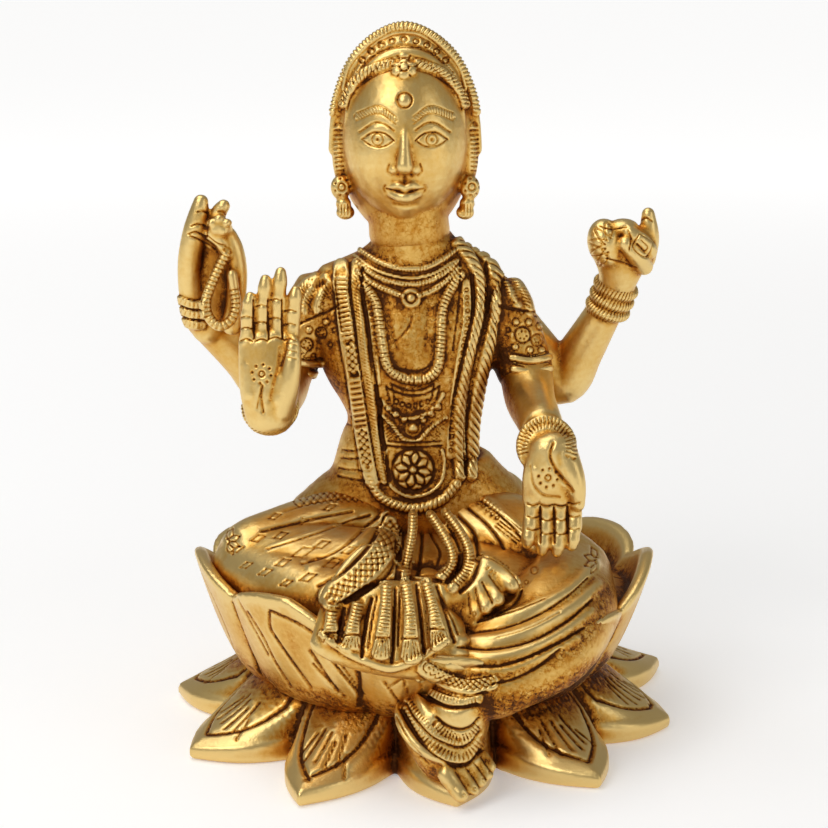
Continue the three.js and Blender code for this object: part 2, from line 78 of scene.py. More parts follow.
# Sizes shared with the solid.
CUSHION_TOP = 47
BASE_TIP_RADIUS = 85.5
BASE_NOTCH_RADIUS = 64
BASE_TIPS = [
    [7, 0.97], [38.5, 1.02], [77, 0.98], [113, 1.07], [150, 1], [186, 1], [226, 1], [263, 1],
    [301, 1.02], [335, 1.05],
]
BASE_TIP_EDGE = 5
BASE_NOTCH_EDGE = 8
BASE_ROOT_HEIGHT = 24
SEAT_TIPS = [
    [0, 0.62], [40, 0.7], [80, 1], [121, 0.88], [161, 0.78], [200, 0.78], [240, 0.84], [281, 1.03],
    [326, 1.02],
]
SEAT_FOOT_RADIUS = 59
SEAT_RIM_RADIUS = 76.5
SEAT_RIM_WALL = 5
SEAT_HEIGHT = 35
SEAT_DIP = 7
SINK = 4


def in_picture(points):
    """Pixels across, pixels down and depth of points, as the camera sees them."""
    back = CAMERA_BACK + points[:, 1]
    drop = CAMERA_HEIGHT - points[:, 2]
    depth = back * math.cos(CAMERA_TILT) + drop * math.sin(CAMERA_TILT)
    rise = back * math.sin(CAMERA_TILT) - drop * math.cos(CAMERA_TILT)
    across = MIDDLE_X + FOCAL * points[:, 0] / depth
    return np.stack([across, PICTURE / 2 - FOCAL * rise / depth, depth], 1)


def seen(across, down, y):
    """The point at the distance y that the camera sees at a pixel."""
    sideways, rise = (across - MIDDLE_X) / FOCAL, (PICTURE / 2 - down) / FOCAL
    forward = math.cos(CAMERA_TILT) + rise * math.sin(CAMERA_TILT)
    upward = rise * math.cos(CAMERA_TILT) - math.sin(CAMERA_TILT)
    reach = (y + CAMERA_BACK) / forward
    return [sideways * reach, y, CAMERA_HEIGHT + upward * reach - CUSHION_TOP]


def drawn(stations, sides=20, rings=14, front=FRONT, dome=4):
    """A limb whose stations are given by pixels of the picture, their distance y and the radii."""
    return limb([[*seen(*station[:3]), *station[3:]] for station in stations], sides, rings, front, dome)


def on_circle(centre, degrees, across, down=None):
    """A point of a circle, or of an oval, round a centre."""
    turned = math.radians(degrees)
    down = across if down is None else down
    return [centre[0] + across * math.cos(turned), centre[1] + down * math.sin(turned)]


def spline(points, count):
    """count points along a smooth curve through the given ones."""
    given = np.asarray(points, float)
    if len(given) == 2:
        given = np.array([given[0], given.mean(0), given[1]])
    padded = np.vstack([2 * given[0] - given[1], given, 2 * given[-1] - given[-2]])
    t = np.linspace(0, len(given) - 1, count)
    k = np.minimum(t.astype(int), len(given) - 2)
    t = (t - k)[:, None]
    a, b, c, d = padded[k], padded[k + 1], padded[k + 2], padded[k + 3]
    bend = 2 * a - 5 * b + 4 * c - d
    twist = 3 * b - a - 3 * c + d
    return 0.5 * (2 * b + (c - a) * t + bend * t**2 + twist * t**3)


def unit(vectors):
    return vectors / np.maximum(np.linalg.norm(vectors, axis=-1, keepdims=True), 1e-9)


def edges_of(ring):
    return list({edge for vertex in ring for edge in vertex.link_edges})


def bridged(bm, loops):
    """A closed form from rings of edges, bridged one to the next."""
    for first, second in zip(loops, loops[1:]):
        bmesh.ops.bridge_loops(bm, edges=first + second)
    bmesh.ops.recalc_face_normals(bm, faces=bm.faces)
    return bm


def with_both_radii(stations):
    return [[*station, station[3]] if len(station) == 4 else list(station) for station in stations]


def limb(stations, sides=24, rings=20, front=FRONT, dome=4):
    """A rounded limb through stations of x, y, z, half width and half depth, z from the cushion."""
    course = spline(with_both_radii(stations), rings)
    centres = course[:, :3] + [0, 0, CUSHION_TOP]
    axis = unit(np.gradient(centres, axis=0))
    side = unit(np.cross(axis, front))
    face = np.cross(side, axis)
    lifts = np.linspace(math.pi / 2, 0, dome, endpoint=False)
    rows = [(0, -math.sin(a), math.cos(a)) for a in lifts]
    rows += [(k, 0, 1) for k in range(rings)]
    rows += [(rings - 1, math.sin(a), math.cos(a)) for a in lifts[::-1]]
    smallest = 0.03  # of the radii, for the caps of the domes
    bm = bmesh.new()
    loops = []
    for number, (k, end, round_) in enumerate(rows):
        a, b = course[k, 3:5]
        place = centres[k] + axis[k] * end * min(a, b)
        share = max(round_, smallest)
        columns = [side[k] * a * share, face[k] * b * share, axis[k], place]
        matrix = Matrix([[*(column[row] for column in columns)] for row in range(3)] + [[0, 0, 0, 1]])
        capped = number in (0, len(rows) - 1)
        ring = bmesh.ops.create_circle(bm, cap_ends=capped, segments=sides, radius=1, matrix=matrix)
        loops.append(edges_of(ring["verts"]))
    return bridged(bm, loops)


def cord(points, radius, flat=1, rings=24, sides=12, front=FRONT):
    """A round cord of one thickness through points."""
    return limb([[*p, radius, radius * flat] for p in points], sides, rings, front, 2)


def blob(centre, radii, turn=(0, 0, 0)):
    """An ellipsoid, turned by degrees about x, y and z."""
    bm = bmesh.new()
    x, y, z = centre
    spin = Matrix.Identity(4)
    for angle, axis in zip(turn, "XYZ"):
        spin = Matrix.Rotation(math.radians(angle), 4, axis) @ spin
    size = Matrix.Diagonal((*radii, 1))
    place = Matrix.Translation((x, y, z + CUSHION_TOP)) @ spin @ size
    bmesh.ops.create_icosphere(bm, subdivisions=4, radius=1, matrix=place)
    return bm


def hoop(centre, axis, radius, thick, tall):
    """A ring of oval section about an axis: thick is half its depth and tall half its width."""
    bm = bmesh.new()
    x, y, z = centre
    turn = Vector(UP).rotation_difference(Vector(axis)).to_matrix().to_4x4()
    section = Matrix.Translation((radius, 0, 0)) @ Matrix.Rotation(math.pi / 2, 4, "X")
    section = section @ Matrix.Diagonal((thick, tall, 1, 1))
    start = bmesh.ops.create_circle(bm, cap_ends=False, segments=12, radius=1, matrix=section)["verts"]
    whole = list(start) + edges_of(start)
    bmesh.ops.spin(bm, geom=whole, axis=UP, angle=2 * math.pi, steps=48, use_merge=True)
    bmesh.ops.transform(bm, matrix=Matrix.Translation((x, y, z + CUSHION_TOP)) @ turn, verts=bm.verts)
    bmesh.ops.recalc_face_normals(bm, faces=bm.faces)
    return bm


def stack(rows, segments):
    """A closed form from level rings: each row gives, for the angles round it, x, y and z."""
    bm = bmesh.new()
    angles = np.arange(segments) * 2 * math.pi / segments
    loops = []
    for k, row in enumerate(rows):
        capped = k in (0, len(rows) - 1)
        ring = bmesh.ops.create_circle(bm, cap_ends=capped, segments=segments, radius=1)["verts"]
        for vertex, place in zip(ring, row(angles)):
            vertex.co = place
        loops.append(edges_of(ring))
    return bridged(bm, loops)


def placed(name, data):
    """An object of the scene."""
    made = bpy.data.objects.new(name, data)
    bpy.context.scene.collection.objects.link(made)
    return made


class Relief:
    """The surface of forms fused like wax, with what is raised on it and cut into it."""

    def __init__(self, name, forms, voxel):
        whole = bpy.data.meshes.new(name)
        joined = bmesh.new()
        for bm in forms:
            bm.to_mesh(whole)
            bm.free()
            joined.from_mesh(whole)
        joined.to_mesh(whole)
        joined.free()
        self.piece = placed(name, whole)
        fuse = self.piece.modifiers.new("fuse", "REMESH")
        fuse.mode = "VOXEL"
        fuse.voxel_size = voxel
        self.apply_modifiers()
        self.mesh = self.piece.data
        count = len(self.mesh.vertices)
        self.points = np.empty(count * 3)
        self.mesh.vertices.foreach_get("co", self.points)
        self.points = self.points.reshape(-1, 3)
        edges = np.empty(len(self.mesh.edges) * 2, np.int32)
        self.mesh.edges.foreach_get("vertices", edges)
        first, second = edges.reshape(-1, 2).T
        self.starts = np.concatenate([first, second])
        self.ends = np.concatenate([second, first])
        self.degree = np.maximum(np.bincount(self.starts, minlength=count), 1)
        self.lift = np.zeros(count)
        self.stain_and_shade = np.zeros(count)
        self.refresh()

    def apply_modifiers(self):
        evaluated = self.piece.evaluated_get(bpy.context.evaluated_depsgraph_get())
        self.piece.data = bpy.data.meshes.new_from_object(evaluated)
        self.piece.modifiers.clear()

    def mean_of_neighbours(self, values):
        count = len(values)
        sums = [np.bincount(self.starts, weights=values[self.ends, k], minlength=count) for k in range(3)]
        return np.stack(sums, 1) / self.degree[:, None]

    def smoothed(self, points, times, share=0.6):
        for _ in range(times):
            points = points + (self.mean_of_neighbours(points) - points) * share
        return points

    def smooth(self, times, share=0.6):
        """Rounds the surface, giving back most of the volume it would lose."""
        for _ in range(times):
            self.points = self.smoothed(self.points, 1, share)
            self.points = self.smoothed(self.points, 1, -share * 0.98)
        self.refresh()

    def melt(self, times, share=0.6):
        """Rounds the surface and fills its creases."""
        self.points = self.smoothed(self.points, times, share)
        self.refresh()

    def refresh(self):
        self.mesh.vertices.foreach_set("co", self.points.ravel())
        self.mesh.update()
        self.normals = np.empty(len(self.points) * 3)
        self.mesh.vertex_normals.foreach_get("vector", self.normals)
        self.normals = self.normals.reshape(-1, 3)

    def settle(self):
        """Moves the surface by what was raised and cut."""
        self.points = self.points + self.normals * self.lift[:, None]
        self.lift[:] = 0
        self.refresh()

    def picture(self, facing=0.05, slack=2.5):
        """A chart of what the camera sees, in pixels."""
        view = in_picture(self.points)
        camera = np.array([0, -CAMERA_BACK, CAMERA_HEIGHT])
        toward = (unit(camera - self.points) * self.normals).sum(1)
        cell = 2
        last = PICTURE // cell
        column = np.clip((view[:, 0] / cell).astype(int), 0, last)
        row = np.clip((view[:, 1] / cell).astype(int), 0, last)
        nearest = np.full((last + 1, last + 1), np.inf)
        np.minimum.at(nearest, (row, column), view[:, 2])
        shown = (toward > facing) & (view[:, 2] < nearest[row, column] + slack)
        return Chart(self, view[:, :2], shown)

    def twist_round(self, centre, axis, radius, half, cuts, depth):
        """Slanting cuts round a bangle, as on a twisted wire."""
        x, y, z = centre
        axis = unit(np.array(axis, float))
        side = unit(np.cross(axis, FRONT))
        ahead = np.cross(axis, side)
        away = self.points - [x, y, z + CUSHION_TOP]
        along = away @ axis
        across, deep = away @ side, away @ ahead
        distance = np.hypot(across, deep)
        phase = np.arctan2(across, deep) / (2 * math.pi) * cuts + along / half
        gap = np.abs(phase - np.round(phase))
        on_it = (np.abs(along) < half + 0.3) & (distance > radius) & (distance < radius + 3)
        value = np.exp(-((gap / CUT_SHARE) ** 2)) * on_it
        self.lift -= depth * value
        self.stain_and_shade += 0.5 * depth * value

    def finish(self):
        """Makes the piece in metres, with the hollows of its surface kept as an attribute."""
        self.settle()
        hollow = np.zeros(len(self.points))
        rounded = self.points
        for times, weight in HOLLOW_WIDTHS:
            rounded = self.smoothed(rounded, times)
            hollow += weight * ((rounded - self.points) * self.normals).sum(1)
        # Painted shade: faces that turn downwards get darker colour.
        self.stain_and_shade += 0.35 * np.clip(-self.normals[:, 2] - 0.15, 0, 1)
        self.mesh.vertices.foreach_set("co", (self.points * MM).ravel())
        for name, values in (("hollow", hollow), ("stain_and_shade", self.stain_and_shade)):
            attribute = self.mesh.attributes.new(name, "FLOAT", "POINT")
            attribute.data.foreach_set("value", values.astype(np.float32))
        triangles = 2 * len(self.mesh.polygons)
        if triangles > PIECE_TRIANGLES:
            thin = self.piece.modifiers.new("thin", "DECIMATE")
            thin.ratio = PIECE_TRIANGLES / triangles
            self.apply_modifiers()
        self.piece.data.shade_smooth()
        self.piece.data.materials.clear()
        self.piece.data.materials.append(brass)
        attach(self.piece, "root")
        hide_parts("lakshmi_statue")


class Chart:
    """A flat map of part of a relief, on which ornament is drawn."""

    def __init__(self, relief, places, shown):
        self.relief = relief
        self.places = places
        self.shown = np.flatnonzero(shown)

    def near(self, path, reach):
        """The points within reach of a path, with the length along it and the distance beside it."""
        corners = np.asarray(path, float)
        length = np.linalg.norm(np.diff(corners, axis=0), axis=1).sum()
        line = spline(corners, max(8, int(length / 2)))
        places = self.places[self.shown]
        low, high = line.min(0) - reach, line.max(0) + reach
        inside = ((places > low) & (places < high)).all(1)
        chosen, places = self.shown[inside], places[inside]
        starts, steps = line[:-1], np.diff(line, axis=0)
        lengths = np.linalg.norm(steps, axis=1)
        before = np.concatenate([[0], np.cumsum(lengths)])[:-1]
        best = np.full(len(places), np.inf)
        along, beside = np.zeros(len(places)), np.zeros(len(places))
        for start, step, length, passed in zip(starts, steps, lengths, before):
            away = places - start
            share = np.clip(away @ step / max(length**2, 1e-9), 0, 1)
            gap = away - share[:, None] * step
            distance = np.linalg.norm(gap, axis=1)
            better = distance < best
            best[better] = distance[better]
            along[better] = (passed + share * length)[better]
            turn = step[0] * away[:, 1] - step[1] * away[:, 0]
            beside[better] = (np.sign(turn) * distance)[better]
        close = best < reach
        return chosen[close], along[close], beside[close]

    def raise_to(self, chosen, height):
        self.relief.lift[chosen] = np.maximum(self.relief.lift[chosen], height)

    def cut(self, chosen, depth, stain_and_shade=0.4):
        self.relief.lift[chosen] -= depth
        self.relief.stain_and_shade[chosen] += depth * stain_and_shade

    def band(self, path, half, height, edge=0.3):
        """A raised strap with soft edges."""
        chosen, _, beside = self.near(path, half)
        self.raise_to(chosen, height * np.clip((1 - np.abs(beside) / half) / edge, 0, 1) ** 0.5)

    def swell(self, path, half, height):
        """A rounded ridge that adds to what is there."""
        chosen, _, beside = self.near(path, half)
        self.relief.lift[chosen] += height * np.cos(beside / half * math.pi / 2) ** 2

    def rope(self, path, half, height, pitch, slant=0.5, depth=0.5):
        """A rounded strand with slanting cuts across it."""
        chosen, along, beside = self.near(path, half)
        body = np.sqrt(np.maximum(0, 1 - (beside / half) ** 2))
        phase = along / pitch + slant * beside / half
        gap = np.abs(phase - np.round(phase))
        cuts = np.exp(-((gap / CUT_SHARE) ** 2))
        self.raise_to(chosen, height * body * (1 - depth * cuts))
        self.relief.stain_and_shade[chosen] += 0.35 * cuts * body

    def wash(self, path, half, amount):
        """A soft band of darker colour along a path, lighter where the amount is below zero: it lays on dirt,
        painted shade and painted light.
        """
        chosen, _, beside = self.near(path, half)
        self.relief.stain_and_shade[chosen] += amount * np.cos(beside / half * math.pi / 2) ** 2

    def groove(self, path, half, depth, stain_and_shade=0.4):
        """A cut with rounded sides."""
        chosen, _, beside = self.near(path, half * 2)
        self.cut(chosen, depth * np.exp(-((beside / half) ** 2)), stain_and_shade)

    def hatch(self, path, half, depth, pitch, slant=0, width=0.2):
        """Short cuts across a path."""
        chosen, along, beside = self.near(path, half)
        phase = along / pitch + slant * beside / half
        gap = np.abs(phase - np.round(phase))
        fade = np.clip((1 - np.abs(beside) / half) * 4, 0, 1)
        self.cut(chosen, depth * fade * np.exp(-((gap / width) ** 2)))

    def lattice(self, path, half, depth, pitch):
        """Two families of slanting cuts that cross."""
        for slant in (-1, 1):
            self.hatch(path, half, depth, pitch, slant * half / pitch, 0.16)

    def ring(self, centre, radius, half, depth):
        """A round cut."""
        reach = radius + 3 * half
        gap = self.places[self.shown] - centre
        distance = np.linalg.norm(gap, axis=1)
        close = distance < reach
        profile = np.exp(-(((distance[close] - radius) / half) ** 2))
        self.cut(self.shown[close], depth * profile)

    def boss(self, centre, radius, height):
        """A round raised button."""
        distance = np.linalg.norm(self.places[self.shown] - centre, axis=1)
        close = distance < radius
        body = np.sqrt(np.maximum(0, 1 - (distance[close] / radius) ** 2))
        self.relief.lift[self.shown[close]] += height * body

    def pit(self, centre, radius, depth):
        """A small round hole."""
        distance = np.linalg.norm(self.places[self.shown] - centre, axis=1)
        close = distance < 2 * radius
        self.cut(self.shown[close], depth * np.exp(-((distance[close] / radius) ** 2)), 1.2)

    def leaf(self, hub, out, reaches, bow, end, half, depth):
        """The two sides of a pointed leaf along out, from near a hub: bow and end are half its widths."""
        beside = np.array([-out[1], out[0]])
        near, middle, far = reaches
        for side in (-1, 1):
            bend = hub + out * middle + beside * bow * side
            self.groove([hub + out * near, bend, hub + out * far + beside * end * side], half, depth)

    def work(self, steps):
        """Does steps in turn: each is the kind of work, then its path or centre and its sizes."""
        for kind, *values in steps:
            getattr(self, kind)(*values)

    def ring_row(self, path, pitch, radius, half, depth):
        """Rings at even steps along a path."""
        line = spline(path, 200)
        passed = np.concatenate([[0], np.cumsum(np.linalg.norm(np.diff(line, axis=0), axis=1))])
        for k in range(int(passed[-1] / pitch) + 1):
            place = line[np.searchsorted(passed, min(k * pitch, passed[-1]))]
            self.ring(place, radius, half, depth)


def grain(points, size, seed=0):
    """A smooth uneven value from -1 to 1 over space, from crossing waves."""
    value = np.zeros(len(points))
    turns = np.random.default_rng(seed)
    for _ in range(7):
        direction = unit(turns.normal(size=3)) / size
        value += np.sin(points @ direction * 2 * math.pi + turns.uniform(0, 6))
    return value / 4


# The rounded edge of a petal: how far in from the outline, and the height over the floor or over the rim.
EDGE_OVER_FLOOR = ((2.4, 0), (0.8, 0.4), (0, 1.6))
EDGE_OVER_RIM = ((0, -1.2), (0.7, -0.2), (2, 0.5))
# Veins on the upper side of a petal: the offset beside its middle, and the reach inwards and outwards.
BASE_VEINS = ((-8, 6, 1), (-5, 7, 3.5), (-1, 6, 4), (2.5, 4, 5), (5.5, 7, 3), (9, 2, 4))
# Painted shade and dirt under the seat: the pixels of a path, its half width and its depth of colour.
BASE_SHADE_WASHES = (
    ([[470, 716], [520, 710], [570, 696], [606, 674]], 27, 1.1),
    ([[230, 655], [280, 690], [340, 710], [400, 718]], 16, 0.5),
)


def lotus_base():
    """A star of sloping petals on a flat underside."""
    count, swell, border, hollow, narrowing = len(BASE_TIPS), 4, 5.5, 1.2, 1.8
    dishing, crease_depth, crease_width = 1.8, 2.2, 0.1
    root = SEAT_FOOT_RADIUS - SINK

    def polar(degrees, radius):
        return np.array([math.sin(math.radians(degrees)), -math.cos(math.radians(degrees))]) * radius

    def tip_of(k):
        degrees, share = BASE_TIPS[k % count]
        return degrees + 360 * (k // count), share * BASE_TIP_RADIUS

    def outline(turns):
        """The edge, and how far it is from the petal's tip to the notch, from 0 to 1."""
        k = round(turns * count)
        across = turns * count - k
        side = -1 if across < 0 else 1
        t = abs(across) * 2
        mine, radius = tip_of(k)
        other, _ = tip_of(k + side)
        gap = abs(other - mine) - 360 / count
        tip = polar(mine, radius)
        notch = polar((mine + other) / 2, BASE_NOTCH_RADIUS + narrowing * min(gap, 0))
        outward = side * np.array([notch[1] - tip[1], tip[0] - notch[0]])
        return tip + (notch - tip) * t + unit(outward) * swell * math.sin(math.pi * t), t

    def rim(t):
        return BASE_TIP_EDGE + (BASE_NOTCH_EDGE - BASE_TIP_EDGE) * t

    def row(radius_of, height_of):
        def places(angles):
            for angle in angles:
                edge, t = outline(angle / (2 * math.pi))
                full = float(np.linalg.norm(edge))
                radius = radius_of(full, t)
                yield (*(edge / full * radius), height_of(full, t))

        return places

    def inner(full):
        return max(full - border, root)

    def inner_height(full, t):
        rise = (full - inner(full)) / max(full - root, 1)
        return rim(t) + (BASE_ROOT_HEIGHT - rim(t)) * rise - hollow * (1 - t)

    def slope(share):
        """A row on the top of the petals, share of the way from the border to the seat."""

        def height(full, t):
            start, end = inner_height(full, t), BASE_ROOT_HEIGHT - 2 * t
            dish = dishing * (1 - t) * math.sin(math.pi * share)
            crease = crease_depth * math.exp(-(((1 - t) / crease_width) ** 2))
            return start + (end - start) * share - dish - crease

        return row(lambda full, t: inner(full) + (root - inner(full)) * share, height)

    def edge_row(inset, height, over):
        return row(lambda full, t: full - inset, lambda full, t: over(t) + height)

    rows = [
        row(lambda full, t: 1, lambda full, t: 0),
        *[edge_row(inset, height, lambda t: 0) for inset, height in EDGE_OVER_FLOOR],
        *[edge_row(inset, height, rim) for inset, height in EDGE_OVER_RIM],
        *[slope(share) for share in (0, 0.25, 0.5, 0.75, 1)],
        row(lambda full, t: 1, lambda full, t: BASE_ROOT_HEIGHT),
    ]
    relief = Relief("lotus_base", [stack(rows, 600)], 0.8)
    relief.smooth(2)
    above = relief.points[:, 2] > 2
    chart = Chart(relief, relief.points[:, :2], (relief.normals[:, 2] > 0.15) & above)
    for k in range(count):
        turns = k / count
        tip, _ = outline(turns)
        outward = unit(tip)
        sides = []
        for side in (-1, 1):
            shares = np.linspace(0.12, 0.96, 9)
            edge = np.array([outline(turns + side * t / (2 * count))[0] for t in shares])
            along = unit(np.gradient(edge, axis=0))
            inward = np.stack([-along[:, 1], along[:, 0]], 1)
            inward *= np.sign((inward * -outward).sum(1, keepdims=True))
            sides.append(edge + inward * 5)
        apex = tip - outward * 7
        ends = [side[-1] - unit(side[-1]) * 9 for side in sides]
        chart.groove([ends[0], *sides[0][::-1], apex, *sides[1], ends[1]], 0.6, 1.0, 0.6)
        sideways = np.array([-outward[1], outward[0]])
        middle = outward * (np.linalg.norm(tip) + root) / 2
        for offset, inwards, outwards in BASE_VEINS:
            start = middle - outward * inwards + sideways * offset * 0.7
            chart.groove([start, middle + outward * outwards + sideways * offset], 0.5, 0.6, 0.6)
    radius = np.linalg.norm(relief.points[:, :2], axis=1)
    rough = np.clip((70 - radius) / 8, 0, 1) * (relief.normals[:, 2] > 0.2)
    relief.lift += rough * 0.16 * np.maximum(grain(relief.points, 1.8, 1), -0.6)
    relief.stain_and_shade += rough * 0.4 * (1 + 0.3 * grain(relief.points, 3.5, 2))
    chart = relief.picture()
    for wash in BASE_SHADE_WASHES:
        chart.wash(*wash)
    relief.finish()


# The rounded rim of the bowl: how far in from its radius, and the height over a petal's edge.
SEAT_LIP = ((0.5, 0.3), (2, 0.7), (4, 0), (SEAT_RIM_WALL, -1.6))
# A line inside the edge of a petal, from foot to foot: the side, the share of its width, and the height from
# the floor, or from the tip where it is below zero.
SEAT_INSET = (
    ("left", 0.3, 25),
    ("left", 0.56, 36),
    ("left", 0.5, -11),
    ("left", 0.12, -4),
    ("right", 0.12, -4),
    ("right", 0.5, -11),
    ("right", 0.56, 36),
    ("right", 0.3, 25),
)
# Veins of a petal: the offset beside its middle, and the heights of both ends.
SEAT_VEINS = ((-6, 26, 38), (-1, 25, 43), (4, 26, 39), (9, 25, 34))
# Cuts in the petals in front: the pixels of a path, half its width and its depth.
SEAT_CUTS = (
    ([[269, 613], [270, 628], [277, 640], [288, 656], [311, 688]], 1.3, 0.6),
    ([[270, 611], [284, 617], [300, 625], [318, 637], [334, 648]], 1.3, 0.6),
    ([[247, 612], [262, 636], [275, 662], [291, 687]], 1.2, 0.5),
    ([[310, 651], [322, 670], [337, 692]], 1.5, 0.7),
    ([[313, 664], [327, 680], [345, 697]], 1.2, 0.5),
    ([[327, 654], [342, 674], [361, 696]], 1.5, 0.7),
    ([[338, 661], [350, 677], [363, 694]], 1.2, 0.5),
    ([[232, 590], [250, 622], [268, 655]], 1, 0.4),
    ([[606, 612], [590, 645], [569, 674]], 1, 0.3),
    ([[570, 645], [552, 662], [530, 677]], 0.9, 0.3),
)
# Painted shade and dirt low on the bowl, most of it on the right: the pixels of a path, half its width and
# its depth of colour.
SEAT_SHADE_WASHES = (
    ([[330, 700], [400, 712], [480, 708], [560, 688], [600, 665]], 22, 0.6),
    ([[492, 668], [545, 655], [585, 635], [610, 600]], 26, 1.1),
    ([[484, 707], [520, 703], [560, 690], [604, 666]], 21, 1.8),
    ([[230, 652], [280, 684], [340, 702]], 14, 0.45),
)


def lotus_seat():
    """A bowl of upright petals with a cushion in it."""
    count, swell, cleft_share = len(SEAT_TIPS), 0.62, 0.05
    foot = BASE_ROOT_HEIGHT - SINK
    mean_radius = 68

    def petal(turns):
        """The angle, the height of the rim and the place between a tip and the cleft, from 0 to 1."""
        k = round(turns * count)
        across = turns * count - k
        lap = -1 if across < 0 else 1
        near, other = SEAT_TIPS[k % count], SEAT_TIPS[(k + lap) % count]
        t = abs(across) * 2
        step = (((other[0] - near[0]) * lap) % 360) * lap
        tip = (near[1] + ((near[1] + other[1]) / 2 - near[1]) * t) * SEAT_HEIGHT
        return near[0] + step * t / 2, BASE_ROOT_HEIGHT + tip - SEAT_DIP * t**2.2, t

    def row(radius_of, height_of):
        def places(angles):
            for angle in angles:
                degrees, rim, t = petal(angle / (2 * math.pi))
                radius = radius_of(t) * (1 - cleft_share * t**4)
                turned = math.radians(degrees)
                yield (radius * math.sin(turned), -radius * math.cos(turned), height_of(rim, t))

        return places

    def wall(share):
        radius = SEAT_FOOT_RADIUS + (SEAT_RIM_RADIUS - SEAT_FOOT_RADIUS) * share**swell
        return row(lambda t: radius, lambda rim, t: foot + (rim - foot) * share)

    def lip(inset, height):
        return row(lambda t: SEAT_RIM_RADIUS - inset, lambda rim, t: rim + height)

    rows = [
        row(lambda t: 1, lambda rim, t: foot),
        row(lambda t: SEAT_FOOT_RADIUS - 1, lambda rim, t: foot),
        *[wall(share) for share in (0.02, 0.1, 0.2, 0.3, 0.4, 0.5, 0.6, 0.7, 0.8, 0.9, 0.97)],
        *[lip(inset, height) for inset, height in SEAT_LIP],
        row(lambda t: SEAT_RIM_RADIUS - 1.6 * SEAT_RIM_WALL, lambda rim, t: CUSHION_TOP - 2),
        row(lambda t: SEAT_RIM_RADIUS - 2.6 * SEAT_RIM_WALL, lambda rim, t: CUSHION_TOP - 0.5),
        row(lambda t: 1, lambda rim, t: CUSHION_TOP),
    ]
    relief = Relief("lotus_seat", [stack(rows, 540)], 0.8)
    relief.smooth(2)
    radius = np.linalg.norm(relief.points[:, :2], axis=1)
    outward = (relief.points[:, :2] * relief.normals[:, :2]).sum(1) / radius
    turned = np.degrees(np.arctan2(relief.points[:, 0], -relief.points[:, 1])) % 360
    arc = math.radians(1) * mean_radius
    front_left = count - 1
    for k, (degrees, _) in enumerate(SEAT_TIPS):
        away = (turned - degrees + 180) % 360 - 180
        unrolled = np.stack([away * arc, relief.points[:, 2]], 1)
        chart = Chart(relief, unrolled, (outward > 0.2) & (radius > 52))
        _, top, _ = petal(k / count)
        before, low, _ = petal((k - 0.499) / count)
        after, _, _ = petal((k + 0.499) / count)
        edges = {
            "left": ((before - degrees + 180) % 360 - 180) * arc,
            "right": ((after - degrees + 180) % 360 - 180) * arc,
        }
        right = edges["right"]
        chart.groove([[right * 0.9, 24], [right * 1.02, 36], [right, low + 1]], 0.6, 0.8)
        # The front petal on the left has its own cuts.
        if k == front_left:
            continue
        inset = [[edges[side] * share, z if z > 0 else top + z] for side, share, z in SEAT_INSET]
        chart.groove(inset, 0.4, 0.4)
        for x, low_end, high_end in SEAT_VEINS:
            chart.groove([[x * 0.6, low_end], [x, high_end]], 0.35, 0.35)
    chart = relief.picture()
    for cut in SEAT_CUTS:
        chart.groove(*cut)
    for wash in SEAT_SHADE_WASHES:
        chart.wash(*wash)
    relief.stain_and_shade += 0.1
    rough = np.clip((29 - relief.points[:, 2]) / 4, 0, 1) * (radius > 50)
    relief.lift += rough * 0.16 * np.maximum(grain(relief.points, 1.8, 3), -0.6)
    relief.stain_and_shade += rough * 0.4
    relief.finish()


TORSO = [
    [-4, 8, 12, 40, 18],
    [-4, 7.5, 20, 41, 18.5],
    [-4, 7, 26, 38.5, 18.5],
    [-4.2, 6.5, 31, 34, 18],
    [-4.5, 6, 36, 28.8, 17],
    [-5, 5.5, 42, 23.8, 16],
    [-3.9, 5, 48, 22.2, 15.5],
    [-3.5, 5, 55, 21.9, 15],
    [-3.9, 4, 63, 24.4, 15.5],
    [-4.8, 4, 73, 29, 17],
    [-5, 5, 85, 32, 16],
    [-4.7, 6, 95, 31.5, 13.5],
    [-3.9, 6, 103, 28.5, 12],
    [-4, 5, 110, 16.5, 12],
    [-4.6, 4, 115, 12, 11.5],
]
FRONT_RIGHT_ARM = [
    [-31.5, 8, 94, 11],
    [-40, 7, 82, 10],
    [-45.5, 4, 71, 9.6],
    [-48, -6, 64.5, 9.6],
    [-49.5, -22, 65, 7.4],
    [-48.5, -36, 68, 6.8],
]
FRONT_LEFT_ARM = [
    [22.5, 8, 92.5, 11],
    [29, 7, 80, 9.8],
    [33.3, 4, 69, 8.8],
    [34.5, -4, 62, 8.2],
    [36.2, -16, 59, 7.4],
    [37.8, -27, 57, 6.8],
]
REAR_RIGHT_ARM = [
    [-31, 13, 90, 9.5],
    [-42, 18, 74, 9],
    [-51.5, 19, 62.5, 8.8],
    [-60.3, 16, 72.5, 8],
    [-72.5, 11, 86, 6.8],
]
REAR_LEFT_ARM = [
    [23, 13, 90, 9.5],
    [35, 18, 75, 9],
    [46, 19, 63.5, 9],
    [53, 16, 74.5, 7.4],
    [61, 10, 91, 5.7],
]
# The slopes from the shoulders to the neck.
NECK_SLOPES = ([[-22, 6, 101, 6], [-8, 6, 113, 5]], [[14, 6, 102, 7], [2, 6, 113, 5]])
# The middles of the round pieces down the front, in pixels.
PENDANT = [411, 298]
LOWER_PENDANT = [413, 428]
MEDALLION = [413, 470]
